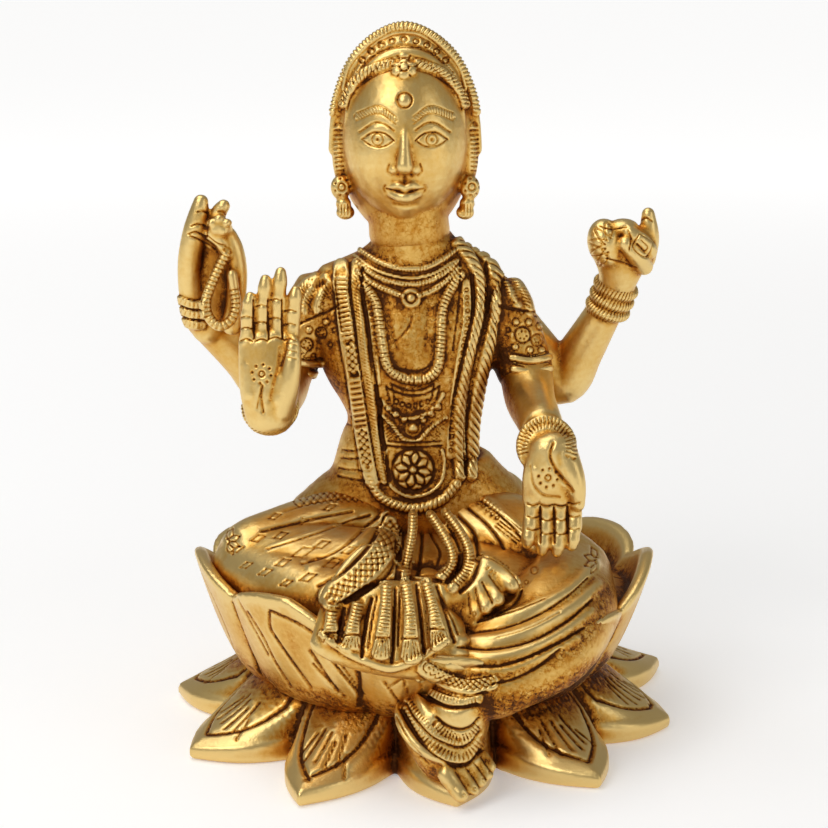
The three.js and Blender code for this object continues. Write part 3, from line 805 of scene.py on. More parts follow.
# The garland on the viewer's left: kinds of work, with the pixels of each path and its sizes.
LEFT_GARLAND = (
    ("band", [[342, 268], [342, 290], [346, 320], [350, 350], [356, 380], [361, 410], [366, 445],
              [373, 480]], 8.5, 1.5),
    ("band", [[355, 266], [356, 290], [360, 322], [364, 355], [369, 385], [374, 420], [379, 450],
              [385, 480]], 4.6, 0.8),
    ("hatch", [[343, 276], [343, 300], [347, 322], [350, 340]], 7, 0.6, 4.6),
    ("lattice", [[352, 340], [355, 372]], 6.5, 0.55, 7),
    ("hatch", [[356, 376], [361, 410], [364, 428]], 6, 0.6, 5.5),
    ("lattice", [[364, 430], [369, 466]], 6, 0.55, 7),
)
# The two twisted strands on the viewer's right.
RIGHT_STRANDS = (
    [[456, 243], [470, 260], [479, 280], [480, 300], [477, 320], [471, 345], [465, 370], [460, 400],
     [458, 430], [460, 476]],
    [[466, 240], [485, 256], [494, 275], [496, 300], [493, 325], [487, 350], [481, 375], [476, 400],
     [472, 430], [471, 476]],
)
# What lies between the garlands, in the order in which it is laid on.
NECKLACES = (
    ("band", [[466, 283], [467, 320], [462, 350], [457, 380], [453, 420], [450, 455]], 4.5, 0.7),
    ("ring_row", [[466, 290], [467, 320], [462, 350], [457, 380], [453, 420], [450, 450]], 7, 1.8, 1, 0.4),
    ("band", [[364, 292], [371, 310], [374, 335], [375, 360], [377, 382]], 4, 0.6),
    ("ring_row", [[365, 296], [371, 312], [374, 335], [375, 360], [376, 378]], 6.5, 1.6, 1, 0.4),
    # The strands round the neck, with a round pendant.
    ("rope", [[361, 251], [378, 261], [395, 267], [410, 269], [425, 267.5], [441, 260], [455, 250]],
     3, 1.3, 3, 0.3),
    ("band", [[355, 256], [374, 269], [395, 276], [414, 278], [434, 273], [454, 261]], 1.6, 0.7),
    ("rope", [[356, 262], [378, 277], [398, 283], [415, 284], [431, 280], [448, 270], [456, 261]],
     3, 1.2, 3.4, 0.3),
    ("rope", [[357, 270], [372, 283], [390, 291], [402, 296]], 3.4, 1.3, 3.4, 0.3),
    ("rope", [[419, 296], [433, 290], [448, 279], [458, 268]], 3.4, 1.3, 3.4, 0.3),
    ("boss", PENDANT, 10.5, 1.8),
    # The long necklaces, one inside the other.
    ("rope", [[360, 284], [369, 291], [376, 303], [380, 325], [383, 347], [387, 364], [396, 374],
              [411, 379], [427, 377.5], [437, 368], [440, 350], [441, 330], [442, 312], [446, 298],
              [453, 285], [460, 275]], 5, 2.1, 4, 0.1),
    ("band", [[382, 400], [390, 410], [401, 416], [413, 417.5], [425, 414], [436, 405], [443, 394]], 2, 0.9),
    ("rope", [[381, 415], [391, 423], [399, 434], [406, 440], [413, 441], [420, 439], [427, 431],
              [436, 423], [446, 417]], 2.2, 1.1, 3.2),
    ("rope", [[370, 476], [377, 492], [388, 501], [402, 506], [415, 508], [430, 505], [445, 497],
              [456, 484]], 5, 1.9, 4.6, 0.5),
    ("band", [[386, 450], [385, 472], [391, 486], [404, 495], [416, 496.5], [430, 492], [441, 481],
              [444, 464], [442, 450]], 1.6, 0.8),
    ("boss", LOWER_PENDANT, 8.5, 1.4),
    ("boss", MEDALLION, 20, 1.6),
)
# The leaves of the epaulettes.
EPAULETTE_LEAVES = (
    [[326, 277], [314, 284], [305, 300], [304, 312]],
    [[330, 282], [322, 292], [317, 306], [318, 312]],
    [[316, 276], [303, 286], [298, 300], [297, 318]],
    [[508, 272], [519, 284], [528, 300], [531, 312]],
    [[500, 276], [508, 288], [514, 300], [518, 306]],
)
# The borders of the sleeves.
ARMLETS = (
    [[512, 357], [530, 360], [549, 357]],
    [[514, 369], [532, 372], [549, 368]],
    [[296, 362], [308, 364], [322, 364]],
    [[297, 374], [307, 375], [318, 374]],
)
# Cuts in the trunk: the pixels of a path, half its width and its depth.
TRUNK_CUTS = (
    # dark hollows beside the strands
    ([[350, 262], [350, 290], [354, 322], [358, 355], [363, 385], [368, 420], [373, 450], [379, 480]],
     0.9, 0.8),
    ([[362, 268], [362, 290], [367, 322], [371, 355], [376, 385], [380, 420], [385, 450], [390, 480]],
     1.5, 1.1),
    ([[381, 400], [380, 430], [383, 460], [388, 484]], 1.6, 0.9),
    ([[486, 262], [487, 290], [485, 320], [479, 345], [473, 372], [468, 400], [465, 440], [466, 474]],
     1.3, 0.9),
    ([[472, 275], [473, 310], [466, 345], [459, 375], [452, 410], [450, 440]], 1.3, 0.8),
    ([[336, 268], [334, 300], [338, 340], [345, 380], [352, 420], [358, 470]], 1.1, 0.5),
    ([[460, 262], [460, 290], [457, 320], [453, 350]], 1, 0.5),
    ([[393, 366], [403, 370], [420, 371], [430, 365]], 1, 0.5),
    # between the long necklace and the belt
    ([[386, 388], [400, 394], [413, 396], [427, 394], [439, 387]], 1, 0.7),
    ([[391, 384], [402, 389], [413, 391], [424, 389], [434, 384]], 1, 0.6),
    ([[386, 446], [412, 448], [442, 446]], 1.2, 0.8),
    ([[388, 441], [412, 443], [441, 441]], 1, 0.6),
    # the folds of the bodice
    ([[412, 316], [409, 326], [402, 335], [396, 341]], 1.2, 0.4),
    ([[430, 306], [427, 330], [426, 350]], 3, 0.35),
    ([[388, 310], [392, 330], [398, 350]], 2.6, 0.3),
    # the waist
    ([[342, 450], [352, 451], [362, 449]], 0.9, 0.5),
    ([[341, 458], [352, 459], [361, 458]], 0.9, 0.5),
    ([[339, 468], [350, 470], [362, 471]], 1, 0.5),
    ([[338, 476], [350, 479], [364, 481]], 1, 0.5),
    ([[347, 424], [355, 427], [361, 427]], 0.8, 0.4),
    # the hems of the epaulettes and the armlets
    ([[297, 325], [310, 319], [325, 313], [338, 305]], 1.1, 0.8),
    ([[500, 306], [512, 309], [528, 311], [538, 312]], 1.2, 0.8),
    ([[296, 357], [308, 359], [322, 359]], 1, 0.6),
    ([[297, 368], [308, 369], [320, 369]], 1, 0.6),
    ([[298, 379], [307, 380], [316, 379]], 1, 0.6),
    ([[511, 353], [530, 356], [549, 352]], 1, 0.6),
    ([[513, 363], [531, 366], [549, 363]], 1, 0.6),
    ([[515, 374], [532, 377], [549, 373]], 1, 0.6),
    ([[334, 280], [337, 300], [341, 330]], 0.9, 0.5),
)
# The veins of the epaulettes' leaves.
LEAF_VEINS = (
    [[322, 280], [311, 290], [306, 306]],
    [[328, 284], [322, 296], [320, 310]],
    [[312, 279], [301, 290], [299, 312]],
    [[514, 276], [523, 290], [528, 306]],
    [[504, 280], [510, 290], [516, 300]],
)
# The narrow strip beside the left garland.
STRIP = [[356, 274], [356, 290], [360, 322], [364, 355], [369, 385], [374, 420], [379, 450], [385, 478]]
# Round ornament on the sleeves: raised buttons, small rings, and rosettes with their radii.
SLEEVE_BUTTONS = (
    [516, 322], [529, 322], [540, 326], [515, 347], [530, 350], [542, 350], [309, 330], [326, 322],
)
SLEEVE_DOTS = ([294, 340], [314, 356], [330, 345], [334, 330], [522, 312], [536, 314], [508, 330], [508, 350])
SLEEVE_ROSETTES = (([307, 345], 6.5), ([321, 333], 5), ([523, 335], 8), ([538, 340], 6), ([302, 352], 4))
# Ornament on the belly: a row of rings, buds, and short cuts and fans beside them.
BELLY_RINGS = [[396, 402], [404, 405], [413, 406], [422, 404], [430, 401]]
BELLY_BUDS = ([389, 408], [396, 414], [404, 420], [423, 420], [431, 414], [438, 407])
BELLY_HANGERS = (386, 392, 434, 440)
BELLY_HANGERS_SPAN = (413, 386, 400)  # the middle that they lean to, their top and their foot
BELLY_FANS = ([[384, 424], [396, 440]], [[442, 424], [430, 440]])
# Darker colour in the cloth over the chest and the belly, and painted shade between the garlands and the
# upper arms: the pixels of a path, half its width and its depth of colour.
TRUNK_WASHES = (
    ([[330, 300], [390, 320], [430, 320], [520, 320]], 50, 0.22),
    ([[404, 392], [413, 440], [413, 490]], 38, 0.85),
    ([[498, 278], [507, 320], [504, 384]], 15, 1.3),
    ([[336, 300], [332, 350], [338, 392]], 12, 0.55),
)


def raise_jewellery(chart):
    """The garlands, necklaces, epaulettes and armlets."""
    chart.work(LEFT_GARLAND)
    for strand in RIGHT_STRANDS:
        chart.rope(strand, 5.6, 2.2, 8, 1.1, 0.35)
    chart.work(NECKLACES)
    for leaf in EPAULETTE_LEAVES:
        chart.swell(leaf, 6, 1.1)
    for armlet in ARMLETS:
        chart.band(armlet, 3.4, 0.9)


def cut_sleeves(chart):
    for vein in LEAF_VEINS:
        chart.hatch(vein, 5, 0.35, 3.6, 0.8)
    for button in SLEEVE_BUTTONS:
        chart.boss(button, 3.4, 0.5)
        chart.ring(button, 3.6, 0.9, 0.35)
    for dot in SLEEVE_DOTS:
        chart.ring(dot, 2.2, 0.9, 0.4)
    for centre, reach in SLEEVE_ROSETTES:
        chart.ring(centre, reach, 1.2, 0.6)
        for k in range(6):
            chart.pit(on_circle(centre, 60 * k + 12, reach * 0.5), 1, 0.5)


def cut_belly(chart):
    """The pendants, the medallion and the small ornaments on the belly."""
    chart.ring(PENDANT, 5.6, 1.1, 0.9)
    chart.boss(PENDANT, 3.6, 0.7)
    chart.pit(PENDANT, 1.1, 0.5)
    chart.ring(LOWER_PENDANT, 6.2, 1, 0.6)
    chart.boss(LOWER_PENDANT, 3.4, 0.6)
    for k in range(8):
        out = np.array(on_circle((0, 0), 45 * k + 10, 1))
        chart.leaf(np.array(MEDALLION), out, (4, 11, 19), 5.4, 1, 1, 0.8)
    chart.boss(MEDALLION, 4, 1)
    chart.ring(MEDALLION, 21.5, 1.2, 0.7)
    chart.ring_row(BELLY_RINGS, 6.6, 2.2, 0.9, 0.5)
    for bud in BELLY_BUDS:
        chart.boss(bud, 3.6, 0.8)
        chart.ring(bud, 3.6, 1, 0.4)
    middle, top, bottom = BELLY_HANGERS_SPAN
    for x in BELLY_HANGERS:
        chart.groove([[x, top], [x + (middle - x) * 0.12, bottom]], 1, 0.5)
    for fan in BELLY_FANS:
        chart.hatch(fan, 7, 0.3, 3)


def clothed_body():
    """The trunk with its sleeves, necklaces, garlands and belt."""
    forms = [
        limb(TORSO, 40, 44),
        limb(stretch(FRONT_RIGHT_ARM, 0, 2, 0.5), 32, 16, SIDEWAYS, 1),
        limb(stretch(FRONT_LEFT_ARM, 0, 2.1, 0.5), 32, 16, SIDEWAYS, 1),
        limb(stretch(REAR_RIGHT_ARM, 0, 0.9), 28, 16, FRONT, 1),
        limb(stretch(REAR_LEFT_ARM, 0, 0.9), 28, 16, FRONT, 1),
        *[limb(slope, 16, 8) for slope in NECK_SLOPES],
    ]
    relief = Relief("clothed_body", forms, 0.5)
    relief.melt(14)
    raise_jewellery(relief.picture())
    relief.stain_and_shade += (0.12 + 0.34 * np.exp(-relief.lift / 0.7)) * (relief.points[:, 1] < 12)
    relief.settle()
    chart = relief.picture()
    for cut in TRUNK_CUTS:
        chart.groove(*cut)
    chart.hatch(STRIP, 4.4, 0.28, 3.6, 0.9, 0.25)
    chart.wash(STRIP, 8, 0.22)
    cut_sleeves(chart)
    cut_belly(chart)
    for wash in TRUNK_WASHES:
        chart.wash(*wash)
    # Where the cloth is darkened, by dirt and by painted shade, it is rough from the casting.
    front = relief.points[:, 1] < 12
    rough = np.clip(relief.stain_and_shade, 0, 1)
    relief.stain_and_shade += 0.22 * grain(relief.points, 7, 10) * front
    relief.lift += rough * (0.08 * grain(relief.points, 1.3, 5) + 0.06 * grain(relief.points, 3.4, 8))
    relief.finish()


RIGHT_THIGH = [[-14, 4, 14.5, 17, 17], [-34, -8, 14.5, 16.5, 15.5], [-54, -17, 10.5, 13.5, 15]]
RIGHT_SHIN = [
    [-54.5, -21, 8, 13, 12.5],
    [-38, -39, 7, 13, 12],
    [-19, -51, 7, 12, 11],
    [-2, -54, 8, 9, 9],
    [8, -52, 10, 7, 7],
]
LEFT_THIGH = [[12, 4, 15, 17, 16], [29, -5, 13.2, 16.5, 15.6], [48, -15, 5, 14, 13.5]]
LEFT_SHIN = [
    [48, -18, 5, 14, 13],
    [45, -38, 3, 17, 13],
    [35, -54, -3, 18, 12],
    [21, -64, -10, 15, 11],
    [11.5, -69, -18, 10.5, 10],
    [10, -70, -30, 8.5, 8],
]
SHIN_FRONT = (0.5, -0.2, 0.85)
HIPS = [
    [-4, 8.5, -2, 33, 16],
    [-4, 9, 5, 40.5, 19],
    [-4, 9, 12, 42.5, 19.6],
    [-4, 9, 19, 42, 19.2],
    [-4, 8.5, 25, 39.5, 18],
    [-4.2, 7.5, 29, 36, 17.4],
]
FOLDED_LAP = [[-57, -18, 8.5, 12, 13], [-38, -24, 11, 17, 13.5], [-18, -30, 12.5, 17, 12]]
APRON_GROUND = [[-8, -46, 11, 18, 7], [-9, -62, 9, 22, 7], [-11, -72, -2, 24, 6]]
# Rounded masses of cloth: the middle and the three radii.
CLOTH_MASSES = (((-2, -22, 6), (46, 36, 13)), ((18, -40, 3), (24, 18, 11)), ((6, -66, -25), (11, 11, 9)))
# The hems round the ankle: the middle and the radius.
CUFF_AXIS = (0.35, -0.4, 0.85)
CUFFS = (((8.6, -66.5, -18.2), 10.6), ((7, -67, -21.6), 12), ((5.2, -68, -25.4), 13.2))
# The feet: for each station the pixel, the distance and the radii.
FOLDED_FOOT = [(462, 566, -42, 4.5), (470, 577, -46, 6.3, 5.4), (479, 585, -50, 7.2, 5.4),
               (483, 592, -52, 5, 4)]
FOLDED_SOLE = [(484, 600, -50, 7, 4), (504, 600, -48, 7, 4)]
LOWER_FOOT = [(430, 728, -70, 9, 9), (448, 752, -72, 10, 8), (462, 768, -74, 7.5, 5), (472, 776, -74, 5, 3)]
CLOTH_BY_FOOT = [(446, 610, -56, 4, 3.2), (463, 623, -57, 5, 3.4), (482, 628, -57, 4.2, 3.3)]
# The toes of both feet, the big one first: pixels of the root and the tip, their distances, and the radius.
FOLDED_TOES = (
    ((486, 566), (512, 584), (-49, -53.5), 3.7),
    ((484, 577), (497, 599), (-52, -57.5), 3.1),
    ((478, 584), (486, 607), (-54, -58.5), 2.8),
    ((471, 589), (476, 613), (-54.5, -58.5), 2.5),
    ((464, 594), (467, 616), (-55, -58.5), 2.2),
)
LOWER_TOES = (
    ((446, 774), (461, 795), (-80, -83), 3.0),
    ((459, 771), (474, 790), (-78, -80.5), 2.3),
    ((468, 766), (482, 782), (-76, -78), 2.0),
    ((476, 760), (489, 775), (-74, -76), 1.9),
    ((483, 753), (493, 767), (-72, -74), 1.5),
)


def toes(row):
    """Toes that are thick at the tip and narrower behind it."""
    forms = []
    for root, tip, (far, near), radius in row:
        middle = [(root[k] * 0.4 + tip[k] * 0.6) for k in (0, 1)]
        stations = [
            (*root, far, radius * 0.95),
            (*middle, far + (near - far) * 0.45, radius * 0.92),
            (*tip, near, radius * 0.86),
        ]
        forms.append(drawn(stations, 18, 14))
    return forms


def fringe(path, width):
    """A flat cord that ends in a tassel, from points of the picture and their distance."""
    points = [seen(*point) for point in path]
    widths = np.interp(np.linspace(0, 1, len(points)), [0, 0.75, 1], [width, width, width * 1.5])
    return limb([[*point, wide, 1.5] for point, wide in zip(points, widths)], 20, 24, FRONT, 2)


APRON_CORDS = (
    ((333, 604, -67), (331, 622, -73), (332, 641, -75.5)),
    ((359, 602, -68), (354, 622, -74.5), (351, 646, -77)),
    ((387, 584, -66), (385, 615, -75), (381, 656, -79)),
    ((405, 583, -66), (410, 615, -75.5), (411, 658, -79.5)),
    ((425, 582, -65), (433, 610, -74), (440, 645, -78)),
)
BELT_CORDS = (
    ((413, 514, -30), (412, 535, -38), (408, 556, -45), (405, 574, -50)),
    ((430, 514, -30), (442, 532, -38), (451, 550, -44), (452, 565, -49), (441, 577, -54)),
    ((445, 512, -28), (460, 532, -37), (469, 552, -44), (466, 571, -50), (453, 586, -56)),
)
# Broad folds from the knees to the middle: the pixels of a path, half its width and its height.
BROAD_FOLDS = (
    ([[268, 549], [300, 538], [330, 528], [356, 518]], 5, 0.5),
    ([[310, 567], [335, 554], [358, 541], [378, 524]], 7, 0.6),
    ([[486, 500], [513, 524], [534, 548]], 9, 0.9),
    ([[594, 566], [574, 586], [545, 603], [510, 616], [475, 624]], 10, 1.1),
    ([[597, 586], [572, 607], [536, 628], [497, 639], [460, 641]], 10, 1.2),
    ([[590, 612], [560, 634], [524, 651], [488, 657], [456, 652]], 9, 1.1),
    ([[576, 638], [542, 657], [508, 670], [478, 671], [450, 664]], 7, 0.9),
)
# Cuts in the cloth and between the toes: the pixels of a path, half its width and its depth.
DRAPE_CUTS = (
    # the viewer's left leg
    ([[262, 531], [290, 524], [320, 517], [352, 511]], 1.4, 0.8),
    ([[267, 548], [290, 541], [320, 531], [345, 522], [370, 515]], 1.4, 0.9),
    ([[302, 563], [325, 556], [345, 545], [362, 530], [378, 517]], 1.4, 0.8),
    ([[318, 586], [340, 574], [358, 558], [373, 539], [384, 518]], 1.5, 0.9),
    ([[285, 511], [315, 502], [345, 497]], 1.1, 0.4),
    # the folds in the middle
    ([[401, 515], [402, 540], [398, 575]], 2.2, 1.6),
    ([[420, 515], [422, 540], [418, 575]], 1.6, 1.3),
    ([[424, 516], [432, 536], [440, 552], [436, 565]], 1.3, 0.9),
    ([[438, 514], [452, 532], [460, 550], [459, 567], [447, 582]], 1.5, 1.2),
    ([[456, 514], [472, 532], [478, 552], [474, 575], [461, 592]], 1.7, 1.2),
    ([[415, 565], [428, 562], [441, 566]], 4, 1.6),
    ([[398, 540], [396, 560], [386, 576], [362, 590], [345, 602]], 2.2, 1.2),
    ([[340, 603], [362, 593], [384, 579], [404, 578], [425, 578], [442, 582]], 1.7, 1.3),
    ([[466, 506], [488, 526], [504, 548]], 1.4, 0.9),
    ([[480, 500], [505, 520], [525, 544]], 1.2, 0.8),
    ([[462, 500], [470, 490], [476, 482]], 1.2, 0.7),
    # the viewer's right leg
    ([[588, 578], [568, 596], [540, 614], [506, 627], [470, 633]], 0.9, 0.8),
    ([[592, 600], [566, 622], [530, 641], [492, 649], [458, 647]], 0.9, 0.8),
    ([[584, 628], [552, 646], [514, 662], [484, 666], [452, 658]], 0.9, 0.8),
    ([[545, 598], [518, 609], [488, 618]], 0.7, 0.4),
    ([[560, 612], [530, 627], [496, 638]], 0.7, 0.35),
    ([[560, 650], [538, 667], [514, 679], [492, 684]], 1.3, 0.8),
    ([[478, 553], [496, 560], [512, 572], [521, 588], [514, 603], [498, 613], [478, 622]], 1.2, 0.9),
    ([[428, 660], [446, 671], [470, 678], [492, 675]], 1.1, 0.8),
    ([[419, 680], [440, 691], [462, 697], [486, 692]], 1.1, 0.8),
    ([[414, 688], [430, 699], [446, 707], [462, 708], [477, 705]], 1.6, 1.3),
    # between the cords of the apron
    ([[344, 608], [342, 625], [338, 642]], 1.6, 1.2),
    ([[349, 606], [345, 624], [342, 640]], 0.9, 0.6),
    ([[372, 598], [366, 625], [362, 657]], 1.5, 1.2),
    ([[377, 596], [372, 620], [368, 648]], 0.9, 0.6),
    ([[395, 588], [394, 625], [392, 662]], 1.5, 1.2),
    ([[400, 588], [399, 615], [398, 646]], 0.9, 0.6),
    ([[417, 584], [421, 620], [424, 655]], 1.5, 1.2),
    ([[420, 584], [426, 610], [429, 640]], 0.9, 0.6),
    ([[437, 586], [446, 612], [454, 642]], 1.5, 1.1),
    ([[443, 600], [452, 618], [458, 634]], 0.9, 0.6),
    # round the ankle and the lower foot
    ([[436, 717], [446, 726], [460, 730], [471, 727], [479, 719]], 1.5, 1.1),
    ([[405, 703], [418, 722], [432, 737], [447, 745], [460, 748], [471, 744], [481, 732]], 1.5, 1.1),
    ([[400, 708], [414, 732], [430, 750], [444, 762], [458, 766], [470, 763], [482, 750]], 1.6, 1.2),
    ([[396, 716], [410, 742], [428, 764]], 1.1, 0.5),
    ([[398, 742], [410, 758], [426, 776]], 1.2, 0.8),
    ([[456, 772], [463, 783], [471, 796]], 0.7, 0.6),
    ([[466, 768], [473, 777], [480, 788]], 0.6, 0.5),
    ([[474, 763], [481, 772], [487, 780]], 0.6, 0.5),
    ([[481, 757], [486, 765], [492, 772]], 0.6, 0.5),
    ([[489, 575], [495, 583], [502, 592]], 0.8, 0.6),
    ([[482, 582], [487, 592], [492, 603]], 0.8, 0.6),
    ([[475, 588], [477, 599], [480, 611]], 0.7, 0.5),
    ([[468, 593], [469, 603], [470, 614]], 0.7, 0.5),
)
# Small lozenges woven in the cloth: the pixel of the middle and the reach.
LOZENGES = (
    (258, 538, 4.5), (281, 535, 4.5), (322, 544, 5), (303, 552, 7), (349, 550, 5), (283, 562, 5),
    (333, 563, 6), (265, 572, 4.5), (308, 577, 5.5), (246, 565, 4), (302, 521, 4), (330, 507, 4),
    (275, 516, 4), (237, 549, 4), (286, 583, 4),
)
# The slanting border of the apron, and hems: the pixels of a path, half its width, its height and its edges.
BORDER = [[391, 521], [388, 541], [375, 561], [352, 583], [331, 597]]
HEMS = (
    (BORDER, 13, 1.2, 0.2),
    ([[426, 668], [446, 680], [470, 686], [490, 682]], 9, 1.0, 0.25),
    ([[420, 684], [438, 695], [460, 701], [478, 698]], 6, 0.9, 0.3),
    ([[322, 634], [345, 651], [366, 661], [390, 668], [412, 662], [428, 653], [446, 641]], 4, 0.9, 0.5),
)
BELT_KNOTS = ([405, 575], [441, 578], [453, 588])
SASH_END = np.array([500, 521])
# Woven patterns: kinds of work, with the pixels of each path and its sizes.
CLOTH_PATTERNS = (
    ("lattice", BORDER, 11, 0.5, 8),
    ("ring_row", [[474, 498], [486, 508], [498, 519]], 6, 1.6, 0.8, 0.4),
    ("hatch", [[470, 488], [484, 499], [500, 513]], 4, 0.35, 4),
    ("lattice", [[429, 668], [446, 678], [470, 684], [490, 681]], 7, 0.5, 6),
    ("hatch", [[422, 685], [438, 696], [460, 702], [477, 699]], 4, 0.5, 3.6),
    ("lattice", [[300, 499], [335, 495], [374, 495]], 8, 0.4, 7),
    ("hatch", [[436, 724], [446, 733], [460, 738], [470, 735], [479, 726]], 4.5, 0.6, 3.6),
    ("hatch", [[408, 700], [422, 719], [436, 732], [450, 741], [462, 742], [472, 738], [481, 728]],
     3.6, 0.35, 3.4),
    ("hatch", [[402, 706], [416, 728], [432, 744], [446, 754], [459, 757], [471, 753], [482, 741]],
     5.5, 0.4, 4.2),
    ("ring", [534, 570], 3.6, 0.8, 0.35),
    ("ring", [526, 582], 2, 0.7, 0.3),
)
# The nails of the toes, the first of three cuts at the ankle, and the leafy scroll on each knee.
TOE_NAILS = ([512, 585], [498, 600], [485, 609], [474, 614], [464, 795], [475, 789], [484, 780], [491, 772])
ANKLE_CUT = np.array([[486, 570], [489, 567]])
KNEE_SCROLLS = (([230, 541], 1), ([594, 560], -1))
# Painted shade where the cloth meets the petals and in its hollows, and painted light, where the amount is
# below zero, on the leg at the viewer's left: a path's pixels, half its width and its amount.
DRAPE_SHADE_AND_LIGHT_WASHES = (
    ([[226, 576], [250, 592], [290, 598], [330, 604]], 9, 0.7),
    ([[330, 640], [380, 672], [440, 650]], 12, 0.4),
    ([[236, 562], [290, 560], [332, 540]], 34, -0.35),
    ([[392, 545], [410, 560], [440, 562], [458, 560]], 22, 0.5),
    ([[345, 500], [410, 508], [470, 500]], 16, 0.5),
    ([[462, 620], [500, 615], [530, 596]], 12, 0.5),
    ([[470, 500], [500, 525], [530, 552]], 16, 0.5),
    ([[476, 672], [520, 668], [560, 650], [588, 628], [606, 592]], 27, 1.1),
    ([[484, 706], [520, 702], [560, 689], [596, 668]], 20, 1.6),
    ([[436, 700], [452, 730], [466, 762]], 16, 0.3),
    ([[418, 690], [404, 720], [402, 750], [430, 772]], 13, 0.7),
    ([[486, 700], [491, 730], [488, 758]], 12, 0.9),
    ([[340, 612], [390, 620], [450, 620]], 30, 0.3),
)


def drape_forms():
    forms = [
        limb(RIGHT_THIGH, 36, 20, UP),
        limb(RIGHT_SHIN, 32, 24, UP),
        limb(FOLDED_LAP, 36, 20, UP),
        limb(LEFT_THIGH, 36, 20, UP),
        limb(LEFT_SHIN, 32, 28, SHIN_FRONT),
        limb(HIPS, 40, 24, FRONT, 1),
        *[blob(*mass) for mass in CLOTH_MASSES],
        limb(APRON_GROUND, 32, 20),
        drawn(FOLDED_FOOT, 28, 16),
        drawn(FOLDED_SOLE, 24, 10),
        drawn(LOWER_FOOT, 28, 16),
        drawn(CLOTH_BY_FOOT, 24, 12),
    ]
    forms += toes(FOLDED_TOES) + toes(LOWER_TOES)
    for cord_points in APRON_CORDS:
        forms.append(fringe(cord_points, 2.2))
    for cord_points in BELT_CORDS:
        forms.append(cord([seen(*point) for point in cord_points], 1.75, 1, 30, 14))
    for centre, radius in CUFFS:
        forms.append(hoop(centre, CUFF_AXIS, radius, 2, 1.9))
    return forms


def raise_drape(chart):
    for fold in BROAD_FOLDS:
        chart.swell(*fold)
    for hem in HEMS:
        chart.band(*hem)
    for knot in BELT_KNOTS:
        chart.boss(knot, 6, 0.9)


def cut_tassels(chart):
    """The lines of the sash, and the twists, knots and tassels of the cords."""
    sash_along, sash_across = np.array([0.78, 0.63]), np.array([-0.63, 0.78])
    for offset in (-7, -3.5, 0, 3.5, 7):
        start = SASH_END + sash_across * offset
        chart.groove([start, start + sash_along * 27], 0.8, 0.5)
    for path in BELT_CORDS:
        chart.hatch([point[:2] for point in path], 6, 0.45, 3.4)
    for path in APRON_CORDS:
        top, middle, end = (np.array(point[:2], float) for point in path)
        knot = end + (middle - end) * 0.45
        chart.hatch([top, middle, knot], 6.5, 0.5, 3.6)
        chart.groove([knot - [8, 0], knot + [8, 0]], 1.2, 0.8)
        for side in (-1, -0.5, 0, 0.5, 1):
            chart.groove([knot + [side * 5, 3], end + [side * 9, 1]], 0.8, 0.6)


def cut_patterns(chart):
    """What is woven in the cloth, and the scrolls on the knees."""
    chart.work(CLOTH_PATTERNS)
    for x, y, reach in LOZENGES:
        corners = [[x - reach * 1.6, y + reach * 0.55], [x + 0.5, y - reach * 0.75]]
        corners += [[x + reach * 1.6, y - reach * 0.55], [x - 0.5, y + reach * 0.75]]
        for k in range(4):
            chart.groove([corners[k - 1], corners[k]], 0.8, 0.3, 0.6)
    for middle, aim in KNEE_SCROLLS:
        for k in range(4):
            out = np.array(on_circle((0, 0), -60 + 40 * k, 1)) * [aim, 1]
            chart.leaf(np.array(middle) - [5 * aim, 0], out, (3, 9, 15), 3, 0, 0.9, 0.45)


def lower_body():
    """The folded and the hanging leg in their draped cloth, with the apron and both feet."""
    relief = Relief("lower_body", drape_forms(), 0.5)
    relief.melt(9)
    raise_drape(relief.picture())
    relief.settle()
    chart = relief.picture()
    for cut in DRAPE_CUTS:
        chart.groove(*cut)
    cut_tassels(chart)
    cut_patterns(chart)
    for nail in TOE_NAILS:
        chart.ring(nail, 2, 0.6, 0.3)
    for k in range(3):
        chart.groove(ANKLE_CUT + np.array([3.4 * k, 3 * k]), 0.6, 0.3)
    for wash in DRAPE_SHADE_AND_LIGHT_WASHES:
        chart.wash(*wash)
    # Painted shade: the colour darkens towards the bottom, where the foot and the cloth meet the petals.
    relief.stain_and_shade += 0.3 * np.clip((18 - relief.points[:, 2]) / 6, 0, 1)
    relief.lift += 0.03 * grain(relief.points, 2, 6)
    relief.lift += 0.09 * np.clip(relief.stain_and_shade - 0.2, 0, 1) * grain(relief.points, 1.4, 9)
    relief.finish()


